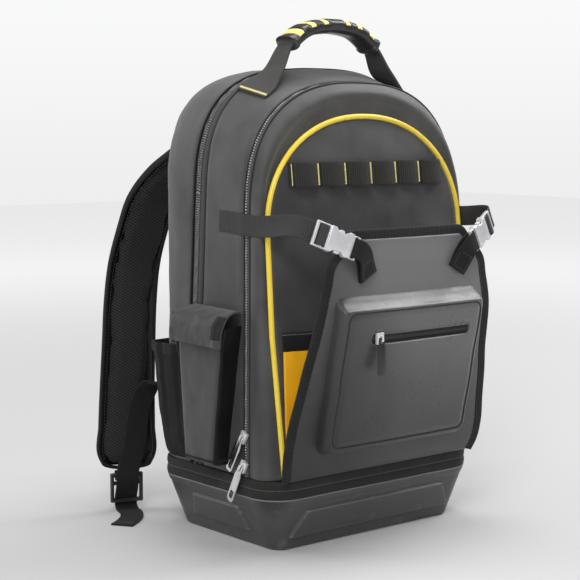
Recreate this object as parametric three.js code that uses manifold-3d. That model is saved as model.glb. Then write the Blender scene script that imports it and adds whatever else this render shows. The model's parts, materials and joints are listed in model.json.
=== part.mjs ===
// Tool backpack on a moulded base, in millimetres, +Z up. It stands on its base with the front towards -Y
// and its own left side towards -X. The origin is the middle of the underside of the base.

import * as THREE from 'three';
import { mergeVertices } from 'three/addons/utils/BufferGeometryUtils.js';
import Module from 'manifold-3d';

const wasm = await Module();
wasm.setup();

// Driving sizes
const packWidth = 300;
const packDepth = 207;
const packHeight = 503;
const gap = 0.3;
const softGap = 0.7;
const cloth = 2.5;
const thinCloth = 2;
const webbing = 1.8;

const baseHeight = 58;
const baseWall = 3;
const baseFlareSide = 22;
const baseFlareFront = 19;
const baseCorner = 35;
const baseFootBevel = 3;
const fieldRise = 2;
const fieldBevel = 3;
const bandHeight = 20;
const bandThickness = 5;
const backPadding = 6;
const pipingRadius = 3;
const zipRise = 1.2;
const panelCrown = 6;

const loopWidth = 25;
const loopPitch = 36.2;
const loopCount = 6;
const loopRise = 9;
const loopTack = 6;
const loopBottomShare = 0.7535;

const innerPocketTop = 232;
const innerPocketHem = 20;
const innerPocketBulge = 12;
const innerPocketInset = 9;

const coverTop = 337;
const coverHalfWidth = 143.5;
const coverLeanShare = 1.4493;
const bindingWidth = 12;
const bindingThickness = 4;

const boxDepth = 15;
const boxBottom = 104;
const boxTop = 272;
const boxHalfWidth = 103;
const boxCorner = 14;
const boxBevel = 5;
const boxLedge = 18;
const boxWall = 2.5;
const boxMiddleShare = 0.6;
const zipSlotLength = 143;
const zipSlotHeight = 13;
const zipSlotMiddleX = 7.5;
const zipSlotMiddleZ = 226.5;
const zipPlateThickness = 2.5;
const zipPlateDepth = 2;
const pocketPullX = -55;
const pocketPullLength = 38;
const pocketPullWidth = 10;

const strapWidth = 22;
const strapHeight = 343;
const buckleLength = 50;
const buckleWidth = 26;
const buckleThickness = 8;
const ladderThickness = 4;
const tabDrop = 48;
const tabWidth = 24;

const holsterTop = 236;
const holsterLift = 11.4;
const holsterDepth = 33;
const holsterBackShare = 0.174;
const holsterFrontShare = -0.638;
const flapHeight = 252;
const flapDrop = 218;
const sidePocketHem = 208;
const sidePocketLift = 3.4;
const sidePocketBulge = 22;
const sidePocketFrontShare = 0.203;
const sidePocketBackShare = 0.87;
const hemHeight = 12;

const sliderLength = 12;
const sliderWidth = 9;
const sliderHeight = 4;
const bailRoom = 2.4;
const bailReach = 2;
const bailBar = 1.1;
const pullLength = 44;
const pullWidth = 10;
const pullThickness = 1.6;
const upperSliderLift = 42.4;
const lowerSliderLift = 11.4;
const upperTilt = 0.52;
const lowerTilt = 0.47;

const handleRise = 45;
const handleMiddleY = -18;
const handleWidth = 42;
const handleNarrow = 24;
const handleThickness = 3;
const anchorSlope = 0.72;
const gripHalfLength = 60;
const gripWidth = 34;
const gripThickness = 20;
const ribLength = 6;
const ribRise = 1.2;
const ribDepth = 2;

const padWidth = 62;
const padThickness = 12;
const lockWidth = 38;
const lockHeight = 34;
const lockThickness = 5;
const lockBar = 4;
const lockFloor = 9;
const lockHang = 2;
const lowerWebbing = 26;
const strapTurn = 0.35;
const padReach = 80;
const tailLength = 78;

const halfWidth = packWidth / 2;
const loopBottom = loopBottomShare * packHeight;
const halfDepth = packDepth / 2;
const coverLean = coverLeanShare * halfDepth;
const holsterBack = holsterBackShare * halfDepth;
const holsterFront = holsterFrontShare * halfDepth;
const sidePocketFront = sidePocketFrontShare * halfDepth;
const sidePocketBack = sidePocketBackShare * halfDepth;
const seam = baseHeight + gap + bandHeight + gap;
const upperSliderZ = seam + upperSliderLift;
const lowerSliderZ = seam + lowerSliderLift;
const holsterBottom = seam + holsterLift;
const sidePocketBottom = seam + sidePocketLift;

// Colours, roughness and metalness of the materials
const looks = {
  fabric: { color: 0x3a3a3c, roughness: 0.6, metalness: 0 },
  coated: { color: 0x3f3f41, roughness: 0.45, metalness: 0 },
  webbing: { color: 0x1c1c1d, roughness: 0.8, metalness: 0 },
  yellow: { color: 0xf0d84c, roughness: 0.6, metalness: 0 },
  amber: { color: 0xf2b81f, roughness: 0.65, metalness: 0 },
  moulded: { color: 0x3b3a39, roughness: 0.5, metalness: 0 },
  rubber: { color: 0x2e2e30, roughness: 0.5, metalness: 0 },
  silver: { color: 0xd8d8dc, roughness: 0.35, metalness: 0.7 },
  chrome: { color: 0xe4e4e6, roughness: 0.15, metalness: 1 },
  mesh: { color: 0x161617, roughness: 0.9, metalness: 0 },
};

const part = new THREE.Group();

// Adds a named mesh to the part or to the group given.
function addPiece(name, look, geometry, parent = part) {
  const mesh = new THREE.Mesh(geometry, new THREE.MeshStandardMaterial(looks[look]));
  mesh.name = name;
  parent.add(mesh);
  return mesh;
}

const vec = (x, y, z) => new THREE.Vector3(x, y, z);
const mix = (a, b, t) => a + (b - a) * t;
const mirrorX = (p) => vec(-p.x, p.y, p.z);

// Value at x of the line through [x, value] rows.
function alongRows(rows, x) {
  const last = rows.length - 2;
  let i = 0;
  while (i < last && x > rows[i + 1][0]) i += 1;
  const [x0, v0] = rows[i];
  const [x1, v1] = rows[i + 1];
  return mix(v0, v1, THREE.MathUtils.clamp((x - x0) / (x1 - x0), 0, 1));
}

// Closed geometry from points and triangles: welded, without empty triangles, facing out.
function closedGeometry(points, triangles) {
  const keys = new Map();
  const positions = [];
  const weld = points.map((p) => {
    const key = `${p.x.toFixed(4)},${p.y.toFixed(4)},${p.z.toFixed(4)}`;
    if (!keys.has(key)) {
      keys.set(key, keys.size);
      positions.push(p.x, p.y, p.z);
    }
    return keys.get(key);
  });
  const faces = triangles
    .map((t) => t.map((i) => weld[i]))
    .filter(([a, b, c]) => a !== b && b !== c && c !== a);
  const at = (i) => vec(positions[3 * i], positions[3 * i + 1], positions[3 * i + 2]);
  const volume = faces.reduce((sum, [a, b, c]) => sum + at(a).dot(at(b).cross(at(c))), 0);
  const geometry = new THREE.BufferGeometry();
  geometry.setAttribute('position', new THREE.Float32BufferAttribute(positions, 3));
  geometry.setIndex(faces.flatMap(([a, b, c]) => (volume > 0 ? [a, b, c] : [a, c, b])));
  geometry.computeVertexNormals();
  return geometry;
}

// Walled sheet between an outer and an inner grid of points, stitched along its edges.
function sheet(outer, inner) {
  const rows = outer.length;
  const columns = outer[0].length;
  const points = [...outer.flat(), ...inner.flat()];
  const triangles = [];
  const quad = (a, b, c, d) => triangles.push([a, b, c], [a, c, d]);
  const out = (i, j) => i * columns + j;
  const inn = (i, j) => rows * columns + i * columns + j;
  for (let i = 0; i + 1 < rows; i += 1) {
    for (let j = 0; j + 1 < columns; j += 1) {
      quad(out(i, j), out(i, j + 1), out(i + 1, j + 1), out(i + 1, j));
      quad(inn(i, j), inn(i + 1, j), inn(i + 1, j + 1), inn(i, j + 1));
    }
    quad(out(i, 0), out(i + 1, 0), inn(i + 1, 0), inn(i, 0));
    quad(out(i, columns - 1), inn(i, columns - 1), inn(i + 1, columns - 1), out(i + 1, columns - 1));
  }
  for (let j = 0; j + 1 < columns; j += 1) {
    quad(out(0, j), inn(0, j), inn(0, j + 1), out(0, j + 1));
    quad(out(rows - 1, j), out(rows - 1, j + 1), inn(rows - 1, j + 1), inn(rows - 1, j));
  }
  return closedGeometry(points, triangles);
}

// Solid through closed rings of equal counts, capped at both ends or joined end to end.
function loft(rings, joined = false) {
  const count = rings[0].length;
  const points = rings.flat();
  const triangles = [];
  const steps = joined ? rings.length : rings.length - 1;
  for (let i = 0; i < steps; i += 1) {
    const next = (i + 1) % rings.length;
    for (let j = 0; j < count; j += 1) {
      const k = (j + 1) % count;
      triangles.push([i * count + j, i * count + k, next * count + k]);
      triangles.push([i * count + j, next * count + k, next * count + j]);
    }
  }
  if (!joined) {
    const flatRing = (ring) => {
      const normal = vec(0, 0, 0);
      ring.forEach((p, j) => normal.add(p.clone().cross(ring[(j + 1) % count])));
      const turn = new THREE.Quaternion().setFromUnitVectors(normal.normalize(), vec(0, 0, 1));
      return ring.map((p) => p.clone().applyQuaternion(turn)).map((p) => new THREE.Vector2(p.x, p.y));
    };
    const start = THREE.ShapeUtils.triangulateShape(flatRing(rings[0]), []);
    const end = THREE.ShapeUtils.triangulateShape(flatRing(rings[rings.length - 1]), []);
    const offset = (rings.length - 1) * count;
    start.forEach(([a, b, c]) => triangles.push([c, b, a]));
    end.forEach(([a, b, c]) => triangles.push([offset + a, offset + b, offset + c]));
  }
  return closedGeometry(points, triangles);
}

// Sections of a swept piece as shares of its half width and half thickness.
const flatSection = [[-1, -1], [1, -1], [1, 1], [-1, 1]];
const roundSection = [[-1, -0.4], [-0.86, -1], [0.86, -1], [1, -0.4], [1, 0.4], [0.86, 1], [-0.86, 1],
  [-1, 0.4]];

// Frames along stops {at, wide, width, thickness}: the normal and the width direction, which is squared to
// the path unless the stop is skewed.
function framesAlong(stops) {
  return stops.map((stop, i) => {
    const before = stops[Math.max(i - 1, 0)].at;
    const after = stops[Math.min(i + 1, stops.length - 1)].at;
    const ahead = after.clone().sub(stop.at).normalize();
    const behind = stop.at.clone().sub(before).normalize();
    const tangent = after.clone().sub(before).normalize();
    const square = stop.skewed ? 0 : tangent.dot(stop.wide);
    const wide = stop.wide.clone().addScaledVector(tangent, -square).normalize();
    const inside = i > 0 && i < stops.length - 1;
    const stretch = inside ? Math.min(1 / Math.sqrt((1 + ahead.dot(behind)) / 2), 1.5) : 1;
    return { ...stop, wide, normal: tangent.clone().cross(wide).normalize(), stretch };
  });
}

// Solid swept along stops with one section.
function sweep(stops, section = flatSection) {
  return loft(framesAlong(stops).map((frame) => section.map(([across, out]) => frame.at.clone()
    .addScaledVector(frame.wide, across * frame.width / 2)
    .addScaledVector(frame.normal, out * frame.stretch * frame.thickness / 2))));
}

// Manifold solid of a geometry, and back.
function toSolid(geometry) {
  const bare = geometry.clone();
  bare.deleteAttribute('normal');
  bare.deleteAttribute('uv');
  const merged = mergeVertices(bare, 1e-4);
  return new wasm.Manifold(new wasm.Mesh({
    numProp: 3,
    vertProperties: new Float32Array(merged.attributes.position.array),
    triVerts: new Uint32Array(merged.index.array),
  }));
}

function fromSolid(solid) {
  const mesh = solid.getMesh();
  const geometry = new THREE.BufferGeometry();
  geometry.setAttribute('position', new THREE.BufferAttribute(mesh.vertProperties, 3));
  geometry.setIndex(new THREE.BufferAttribute(mesh.triVerts, 1));
  geometry.computeVertexNormals();
  return geometry;
}

// Box between two corners, as a geometry.
function boxBetween(low, high) {
  const geometry = new THREE.BoxGeometry(high.x - low.x, high.y - low.y, high.z - low.z);
  const middle = low.clone().add(high).multiplyScalar(0.5);
  geometry.translate(middle.x, middle.y, middle.z);
  return geometry;
}

// Flat outline extruded to a thickness about its plane, with the outlines of its holes cut out.
function plate(outline, thickness, holes = []) {
  const shape = new THREE.Shape(outline.map(([x, y]) => new THREE.Vector2(x, y)));
  const geometry = new THREE.ExtrudeGeometry(shape, { depth: thickness, bevelEnabled: false });
  geometry.translate(0, 0, -thickness / 2);
  if (holes.length === 0) return geometry;
  return fromSolid(holes.reduce((solid, hole) => solid.subtract(toSolid(plate(hole, 2 * thickness))),
    toSolid(geometry)));
}

const rectangle = (x0, x1, y0, y1) => [[x0, y0], [x1, y0], [x1, y1], [x0, y1]];

// Base tub and the band round its rim

const cornerSteps = 5;

// Rounded rectangle at one height, counter-clockwise from the back right corner.
function roundedRing(halfX, halfY, radius, z) {
  const ring = [];
  const corners = [[1, 1, 0], [-1, 1, 1], [-1, -1, 2], [1, -1, 3]];
  corners.forEach(([signX, signY, quarter]) => {
    for (let i = 0; i <= cornerSteps; i += 1) {
      const angle = (quarter + i / cornerSteps) * Math.PI / 2;
      ring.push(vec(signX * (halfX - radius) + radius * Math.cos(angle),
        signY * (halfY - radius) + radius * Math.sin(angle), z));
    }
  });
  return ring;
}

// Half width of the band's outer outline at a place along the depth.
function bandHalfWidth(y) {
  const past = Math.abs(y) - (halfDepth - baseCorner);
  if (past <= 0) return halfWidth;
  const reach = Math.sqrt(Math.max(baseCorner ** 2 - past ** 2, 0));
  return halfWidth - baseCorner + reach;
}

function tubRing(z, inset) {
  const flare = 1 - z / baseHeight;
  return roundedRing(halfWidth - baseFlareSide * flare - inset, halfDepth - baseFlareFront * flare - inset,
    baseCorner - inset, z);
}

// Raised field on one wall: a slab that stands proud of the sloping wall, wider at its foot.
const fieldShares = {
  front: { half: 0.33, footHalf: 0.4, low: 0.24, high: 0.74 },
  side: { half: 0.19, footHalf: 0.24, low: 0.3, high: 0.74 },
};

function raisedField(kind, turns) {
  const { half, footHalf, low, high } = fieldShares[kind];
  const front = kind === 'front';
  const span = front ? packWidth : packDepth;
  const reach = front ? halfDepth : halfWidth;
  const flare = front ? baseFlareFront : baseFlareSide;
  const wallAt = (z) => reach - flare * (1 - z / baseHeight);
  const ring = (out, grow) => [[-footHalf, low], [footHalf, low], [half, high], [-half, high]]
    .map(([across, share], i) => {
      const z = share * baseHeight + (i < 2 ? -grow : grow);
      return vec(across * span + Math.sign(across) * grow, -wallAt(z) - out, z);
    });
  const solid = loft([ring(-baseWall / 2, fieldBevel), ring(0, fieldBevel), ring(fieldRise, 0)]);
  solid.rotateZ(turns * Math.PI / 2);
  return solid;
}

function baseTub() {
  const shell = loft([tubRing(0, baseFootBevel), tubRing(baseFootBevel, 0), tubRing(baseHeight, 0),
    tubRing(baseHeight, baseWall), tubRing(baseWall, baseWall)]);
  return ['front', 'side', 'front', 'side'].reduce(
    (solid, kind, turns) => solid.add(toSolid(raisedField(kind, turns))), toSolid(shell));
}

addPiece('base_tub', 'moulded', fromSolid(baseTub()));

const bandBottom = baseHeight + gap;
const bandTop = bandBottom + bandHeight;
const bandRing = (inset, z) => roundedRing(halfWidth - inset, halfDepth - inset, baseCorner - inset, z);
addPiece('base_band', 'webbing', loft([bandRing(0, bandBottom), bandRing(0, bandTop),
  bandRing(bandThickness, bandTop), bandRing(bandThickness, bandBottom)], true));

// Body: arched sections from the back to the front. reach is a share of the half depth, wide of the half
// width, shoulder and top of the pack's height; round is the power of the arch, inset its place inside the
// band, lean the forward slope, and sweep how far it moves forward from the knee to the top.
function bodySection(reach, wide, inset, shoulder, top, round, { lean = 0, sweep = 0 } = {}) {
  return { reach, wide, inset, shoulder, top, round, lean, sweep };
}

const sections = {
  backEdge: bodySection(0.93, 0.8, 16, 0.735, 0.958, 2.8),
  backRound: bodySection(0.875, 0.91, 4, 0.735, 0.984, 2.8),
  rearSide: bodySection(0.66, 0.975, 1.5, 0.735, 0.996, 2.8),
  rearZipBack: bodySection(0.367, 0.985, 1.5, 0.735, 1, 2.8, { sweep: 0.15 }),
  rearZipFront: bodySection(0.155, 0.985, 1.5, 0.735, 1, 2.8, { sweep: 0.15 }),
  frontZipBack: bodySection(-0.53, 0.98, 1.5, 0.696, 0.97, 2.5),
  frontZipFront: bodySection(-0.62, 0.98, 1.5, 0.696, 0.968, 2.5),
  frontRound: bodySection(-0.8, 0.965, 2, 0.68, 0.948, 2.35, { lean: 0.03 }),
  pipeLine: bodySection(-0.957, 0.92, 2.6, 0.656, 0.897, 2.15, { lean: 0.068 }),
};

const kneeShare = 0.5;
const straightShare = 0.6;
const sideShares = [0, 0.3, straightShare];
const archSteps = 16;

const sectionFoot = (s) => bandHalfWidth(s.reach * halfDepth) - s.inset;
const shoulderOf = (s) => s.shoulder * packHeight;
const knee = kneeShare * packHeight;

// Place along the depth of a section at a height.
function sectionY(s, z) {
  const past = Math.max(0, (z - knee) / (packHeight - knee));
  return s.reach * halfDepth + s.lean * (z - seam) - s.sweep * halfDepth * past;
}

// Half width of a section at a height, inset within its plane.
function sectionHalfWidth(s, z, inset = 0) {
  const shoulder = shoulderOf(s);
  const full = s.wide * halfWidth - inset;
  if (z <= shoulder) {
    const rise = Math.min((z - seam) / (shoulder - seam) / straightShare, 1);
    return mix(sectionFoot(s) - inset, full, rise);
  }
  const arch = s.top * packHeight - shoulder - inset;
  const share = Math.min((z - shoulder) / arch, 1);
  return full * (1 - share ** s.round) ** (1 / s.round);
}

// Points of a section from its left foot over the arch to its right foot.
function archLine(s, { inset = 0, shift = 0 } = {}) {
  const shoulder = shoulderOf(s);
  const side = sideShares.map((share) => {
    const z = mix(seam, shoulder, share);
    return [sectionHalfWidth(s, z, inset), z];
  });
  const arch = [];
  for (let i = 0; i <= archSteps / 2; i += 1) {
    const angle = i / archSteps * Math.PI;
    arch.push([(s.wide * halfWidth - inset) * Math.cos(angle) ** (2 / s.round),
      shoulder + (s.top * packHeight - shoulder - inset) * Math.sin(angle) ** (2 / s.round)]);
  }
  arch[arch.length - 1][0] = 0;
  const left = [...side, ...arch].map(([x, z]) => vec(-x, sectionY(s, z) + shift, z));
  const right = left.slice(0, -1).reverse().map(mirrorX);
  return [...left, ...right];
}

// Arched strip of cloth through sections, walled inwards, clear of its neighbours by half the gap each.
function archStrip(rows, thickness = cloth) {
  const outer = ({ section, rise = 0, shift = 0 }) => archLine(section, { inset: -rise, shift });
  const inner = ({ section, shift = 0 }) => archLine(section, { inset: thickness, shift });
  return sheet(rows.map(outer), rows.map(inner));
}

// A section between two others.
function between(a, b, t) {
  return Object.fromEntries(Object.keys(a).map((key) => [key, mix(a[key], b[key], t)]));
}

const halfGap = gap / 2;
const { backEdge, backRound, rearSide, rearZipBack, rearZipFront, frontZipBack, frontZipFront, frontRound,
  pipeLine } = sections;
const zipCrest = 0.4;
const rearZipLine = between(rearZipBack, rearZipFront, zipCrest);
const zipLine = between(frontZipBack, frontZipFront, zipCrest);
const behindPiping = pipingRadius + gap;

addPiece('rear_gusset', 'fabric', archStrip([{ section: backEdge, shift: -halfGap }, { section: backRound },
  { section: rearSide }, { section: rearZipBack, shift: halfGap }]));
addPiece('zip_rear', 'webbing', archStrip([{ section: rearZipBack, shift: -halfGap },
  { section: rearZipLine, rise: zipRise },
  { section: rearZipFront, shift: halfGap }]));
addPiece('mid_gusset', 'fabric', archStrip([{ section: rearZipFront, shift: -halfGap },
  { section: frontZipBack, shift: halfGap }]));
addPiece('zip_front', 'webbing', archStrip([{ section: frontZipBack, shift: -halfGap },
  { section: zipLine, rise: zipRise },
  { section: frontZipFront, shift: halfGap }]));
addPiece('front_gusset', 'fabric', archStrip([{ section: frontZipFront, shift: -halfGap },
  { section: frontRound }, { section: pipeLine, shift: behindPiping }]));

// Arched panel filled in rows from side to side. depthAt gives its face, walled towards the back.
const panelColumns = 8;

function archPanel(s, inset, depthAt, thickness) {
  const line = archLine(s, { inset });
  const middle = (line.length - 1) / 2;
  const grid = (offset) => line.slice(0, middle + 1).map((left) => {
    const row = [];
    for (let j = 0; j <= panelColumns; j += 1) {
      const x = mix(left.x, -left.x, j / panelColumns);
      row.push(vec(x, depthAt(x, left.z) + offset, left.z));
    }
    return row;
  });
  return sheet(grid(0), grid(thickness));
}

const backFace = backEdge.reach * halfDepth + halfGap;
addPiece('back_panel', 'fabric', archPanel(backEdge, 0, () => backFace, backPadding));

// Face of the front panel: the leaning plane of the piping with a shallow crown.
function panelFace(x, z) {
  const across = Math.min(Math.abs(x) / Math.max(sectionHalfWidth(pipeLine, z), 1), 1);
  const up = (z - seam) / (pipeLine.top * packHeight - seam);
  const swell = Math.max(0, 1 - (2 * up - 1) ** 4);
  return sectionY(pipeLine, z) - panelCrown * (1 - across ** 2) * swell;
}

addPiece('front_panel', 'fabric', archPanel(pipeLine, behindPiping, panelFace, cloth));

// Piping: a round cord on the edge between the front gusset and the front panel.
const pipingSides = 6;

function pipingTube() {
  const line = archLine(pipeLine);
  const planeNormal = vec(0, 1, -pipeLine.lean).normalize();
  const rings = line.map((p, i) => {
    const before = line[Math.max(i - 1, 0)];
    const after = line[Math.min(i + 1, line.length - 1)];
    const side = after.clone().sub(before).normalize().cross(planeNormal);
    return Array.from({ length: pipingSides }, (_, k) => {
      const angle = (k + 0.5) / pipingSides * 2 * Math.PI;
      return p.clone().addScaledVector(side, pipingRadius * Math.cos(angle))
        .addScaledVector(planeNormal, pipingRadius * Math.sin(angle));
    });
  });
  return loft(rings);
}

addPiece('piping', 'yellow', pipingTube());

// Loop strip: a flat backing webbing and a second webbing sewn to it in tool loops.
const loopTop = loopBottom + loopWidth;
const stripHalf = loopCount * loopPitch / 2;

// Strip that follows the front panel at an offset given for each place along it.
function panelStrip(places, bottom, top, thickness) {
  const line = (z, extra) => places.map(([x, out]) => vec(x, panelFace(x, z) - out - extra, z));
  return sheet([line(bottom, thickness), line(top, thickness)], [line(bottom, 0), line(top, 0)]);
}

const loopShares = [[0, 0], [0.1, 0.7], [0.28, 1], [0.72, 1], [0.9, 0.7]];
const loopPlaces = [[-stripHalf, 0]];
for (let i = 0; i < loopCount; i += 1) {
  const start = (i - loopCount / 2) * loopPitch + loopTack / 2;
  const open = loopPitch - loopTack;
  loopShares.forEach(([along, out]) => loopPlaces.push([start + along * open, out * loopRise]));
  loopPlaces.push([start + open, 0]);
}
loopPlaces.push([stripHalf, 0]);

const loopBase = gap * 2 + webbing;
addPiece('loop_backing', 'webbing', panelStrip(loopPlaces.map(([x]) => [x, gap]), loopBottom, loopTop,
  webbing));
addPiece('tool_loops', 'webbing', panelStrip(loopPlaces.map(([x, out]) => [x, loopBase + out]), loopBottom,
  loopTop, webbing));

// Inner pocket on the front panel, open at the top, with a hem.
const pocketRows = [0, 0.3, 0.62, 1];

function innerPocketFace(x, z) {
  const across = Math.min(Math.abs(x) / (sectionHalfWidth(pipeLine, z) - innerPocketInset), 1);
  const up = (z - seam) / (innerPocketTop - seam);
  return panelFace(x, z) - gap - innerPocketBulge * (1 - across ** 2) * up ** 0.7;
}

function innerPocketSheet(bottom, top, rows, thickness) {
  const grid = (extra) => rows.map((share) => {
    const z = mix(bottom, top, share);
    const reach = sectionHalfWidth(pipeLine, z) - innerPocketInset;
    return Array.from({ length: panelColumns + 1 }, (_, j) => {
      const x = mix(-reach, reach, j / panelColumns);
      return vec(x, innerPocketFace(x, z) - extra, z);
    });
  });
  return sheet(grid(thickness), grid(0));
}

const hemBottom = innerPocketTop - innerPocketHem;
addPiece('inner_pocket', 'amber', innerPocketSheet(seam, hemBottom - gap, pocketRows, thinCloth));
addPiece('inner_pocket_hem', 'webbing', innerPocketSheet(hemBottom, innerPocketTop, [0, 1], thinCloth));

// Front cover: heights as shares from the seam to the top, half widths as shares of its widest, and the
// reach of its edge and of its middle as shares of how far it leans out.
const coverRows = [
  { up: 0, half: 0.965, edge: 0.703, middle: 0.703 },
  { up: 0.05, half: 0.99, edge: 0.735, middle: 0.745 },
  { up: 0.12, half: 1, edge: 0.762, middle: 0.782 },
  { up: 0.24, half: 0.98, edge: 0.794, middle: 0.826 },
  { up: 0.355, half: 0.95, edge: 0.837, middle: 0.873 },
  { up: 0.47, half: 0.916, edge: 0.873, middle: 0.913 },
  { up: 0.55, half: 0.895, edge: 0.907, middle: 0.945 },
  { up: 0.665, half: 0.866, edge: 0.947, middle: 0.978 },
  { up: 0.78, half: 0.818, edge: 0.954, middle: 0.996 },
  { up: 0.87, half: 0.767, edge: 0.954, middle: 0.994 },
  { up: 0.915, half: 0.672, edge: 0.947, middle: 0.98 },
  { up: 1, half: 0.592, edge: 0.927, middle: 0.953 },
];
const coverHeight = coverTop - seam;
const coverColumn = (key, scale) => coverRows.map((row) => [row.up * coverHeight + seam, row[key] * scale]);
const coverHalfRows = coverColumn('half', coverHalfWidth);
const coverEdgeRows = coverColumn('edge', coverLean);
const coverMiddleRows = coverColumn('middle', coverLean);
const coverHalfAt = (z) => alongRows(coverHalfRows, z);

// Middle plane of the cover at a place.
function coverFace(x, z) {
  const across = Math.min(Math.abs(x) / coverHalfAt(z), 1);
  return -mix(alongRows(coverMiddleRows, z), alongRows(coverEdgeRows, z), across ** 2);
}

const sheetTop = coverTop - bindingWidth - gap;
const rowLevels = coverRows.map((row) => seam + row.up * coverHeight);
const coverLevels = [...rowLevels.filter((z) => z < sheetTop - gap), sheetTop];

function coverSheet() {
  const grid = (out) => coverLevels.map((z) => {
    const reach = coverHalfAt(z) - bindingWidth - gap;
    return Array.from({ length: panelColumns + 1 }, (_, j) => {
      const x = mix(-reach, reach, j / panelColumns);
      return vec(x, coverFace(x, z) - out, z);
    });
  });
  return sheet(grid(cloth / 2), grid(-cloth / 2));
}

addPiece('cover_sheet', 'coated', coverSheet());

// Binding round the cover's sides and top edge.
const bindingTopSteps = 4;

function coverBinding() {
  const sides = coverLevels.map((z) => {
    const reach = coverHalfAt(z);
    return { outer: [-reach, z], inner: [-reach + bindingWidth, z] };
  });
  const cornerReach = coverHalfAt(coverTop);
  const innerReach = coverHalfAt(sheetTop) - bindingWidth;
  const top = Array.from({ length: bindingTopSteps + 1 }, (_, j) => {
    const t = j / bindingTopSteps;
    return { outer: [mix(-cornerReach, cornerReach, t), coverTop],
      inner: [mix(-innerReach, innerReach, t), sheetTop + gap] };
  });
  const flip = (stop) => ({ outer: [-stop.outer[0], stop.outer[1]], inner: [-stop.inner[0], stop.inner[1]] });
  const stops = [...sides, ...top, ...[...sides].reverse().map(flip)];
  const grid = (out) => stops.map(({ outer, inner }) => [outer, inner]
    .map(([x, z]) => vec(x, coverFace(x, z) - out, z)));
  return sheet(grid(bindingThickness / 2), grid(-bindingThickness / 2));
}

addPiece('cover_binding', 'webbing', coverBinding());

// Box pocket on the cover: a thin wall on a rounded outline, with a sloping ledge at its top.
const boxSeat = cloth / 2 + 3 * gap;
const boxCornerSteps = 2;
const boxSideSteps = 5;

// Points of the pocket's outline at an inset, with its front's or its rim's place along the depth.
function boxRing(inset, ledge, depthAt) {
  const halfX = boxHalfWidth - inset;
  const low = boxBottom + inset;
  const high = boxTop - inset - ledge;
  const halfZ = (high - low) / 2;
  const middle = (low + high) / 2;
  const radius = boxCorner - inset;
  const corners = [[1, 1], [-1, 1], [-1, -1], [1, -1]].map(([signX, signZ], quarter) => Array.from(
    { length: boxCornerSteps + 1 }, (_, i) => {
      const angle = (quarter + i / boxCornerSteps) * Math.PI / 2;
      return [signX * (halfX - radius) + radius * Math.cos(angle),
        signZ * (halfZ - radius) + radius * Math.sin(angle)];
    }));
  const ring = corners.flatMap((corner, quarter) => {
    const [fromX, fromZ] = corner[boxCornerSteps];
    const [toX, toZ] = corners[(quarter + 1) % corners.length][0];
    const steps = Array.from({ length: boxSideSteps - 1 }, (_, i) => (i + 1) / boxSideSteps);
    return [...corner, ...steps.map((t) => [mix(fromX, toX, t), mix(fromZ, toZ, t)])];
  });
  return ring.map(([x, z]) => vec(x, depthAt(x, z + middle), z + middle));
}

// A dish: rings over the outside from its middle to the rim, then rings back over the inside.
function boxPocket() {
  const rim = (x, z) => coverFace(x, z) - boxSeat;
  const front = (drop) => (x, z) => coverFace(x, z) - cloth / 2 - boxDepth + drop;
  const middleZ = (boxBottom + boxTop - boxLedge) / 2;
  const shrunk = (inset, drop) => boxRing(inset, boxLedge, front(drop)).map((p) => {
    const x = p.x * boxMiddleShare;
    const z = mix(middleZ, p.z, boxMiddleShare);
    return vec(x, front(drop)(x, z), z);
  });
  return loft([shrunk(boxBevel, 0), boxRing(boxBevel, boxLedge, front(0)), boxRing(0, 0, rim),
    boxRing(boxWall, 0, rim), boxRing(boxBevel + boxWall, boxLedge, front(boxWall)),
    shrunk(boxBevel + boxWall, boxWall)]);
}

// Slot with round ends in the pocket's front, at a place along the depth with a thickness.
const slotRound = 0.998;

function slotPlug(grow, depth, middleY) {
  const reach = zipSlotLength / 2 + grow;
  const radius = zipSlotHeight / 2 + grow;
  const outline = roundedRing(reach, radius, radius * slotRound, 0).map((p) => [p.x, p.y]);
  const geometry = plate(outline, depth);
  geometry.rotateX(Math.PI / 2);
  geometry.translate(zipSlotMiddleX, middleY, zipSlotMiddleZ);
  return geometry;
}

const boxFrontY = (x, z) => coverFace(x, z) - cloth / 2 - boxDepth;
const zipPlateY = boxFrontY(zipSlotMiddleX, zipSlotMiddleZ) + zipPlateDepth;
addPiece('cover_pocket', 'coated', fromSolid(toSolid(boxPocket())
  .subtract(toSolid(slotPlug(gap, boxDepth, zipPlateY)))));
addPiece('pocket_zip', 'webbing', slotPlug(0, zipPlateThickness, zipPlateY));

// Slider and pull of a zip. The frame's x runs across the pull, y along it and z out of the zip.
function frameAt(origin, along, out) {
  const across = along.clone().cross(out).normalize();
  return new THREE.Matrix4().makeBasis(across, along, out).setPosition(origin);
}

const bailAxis = gap + sliderHeight + bailRoom / 2;

function sliderGeometry() {
  const top = gap + sliderHeight;
  const outer = bailReach + bailBar;
  const side = (sign) => boxBetween(vec(-bailBar, Math.min(sign * bailReach, sign * outer), top - gap),
    vec(bailBar, Math.max(sign * bailReach, sign * outer), top + bailRoom + bailBar));
  const crown = top + bailRoom + bailBar;
  const bridge = boxBetween(vec(-bailBar, -outer, top + bailRoom), vec(bailBar, outer, crown));
  const block = boxBetween(vec(-sliderWidth / 2, -sliderLength / 2, gap),
    vec(sliderWidth / 2, sliderLength / 2, top));
  return fromSolid([side(1), side(-1), bridge].reduce((solid, bar) => solid.add(toSolid(bar)),
    toSolid(block)));
}

// Flat pull with an eye for the bail and, where asked for, a window near its free end. Its neck and window
// are shares of its width, the window's ends shares of its length.
const eyeRoom = 0.6;
const eyeBar = 0.7;
const eyeEnd = bailReach + bailBar + 3 * eyeRoom;
const neckEnd = eyeEnd + 1.1;
const neckFlare = 5;
const pullChamfer = [2, 3];
const pullShares = { neck: 0.36, window: 0.28, windowStart: 0.7, windowEnd: 0.9 };

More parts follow.
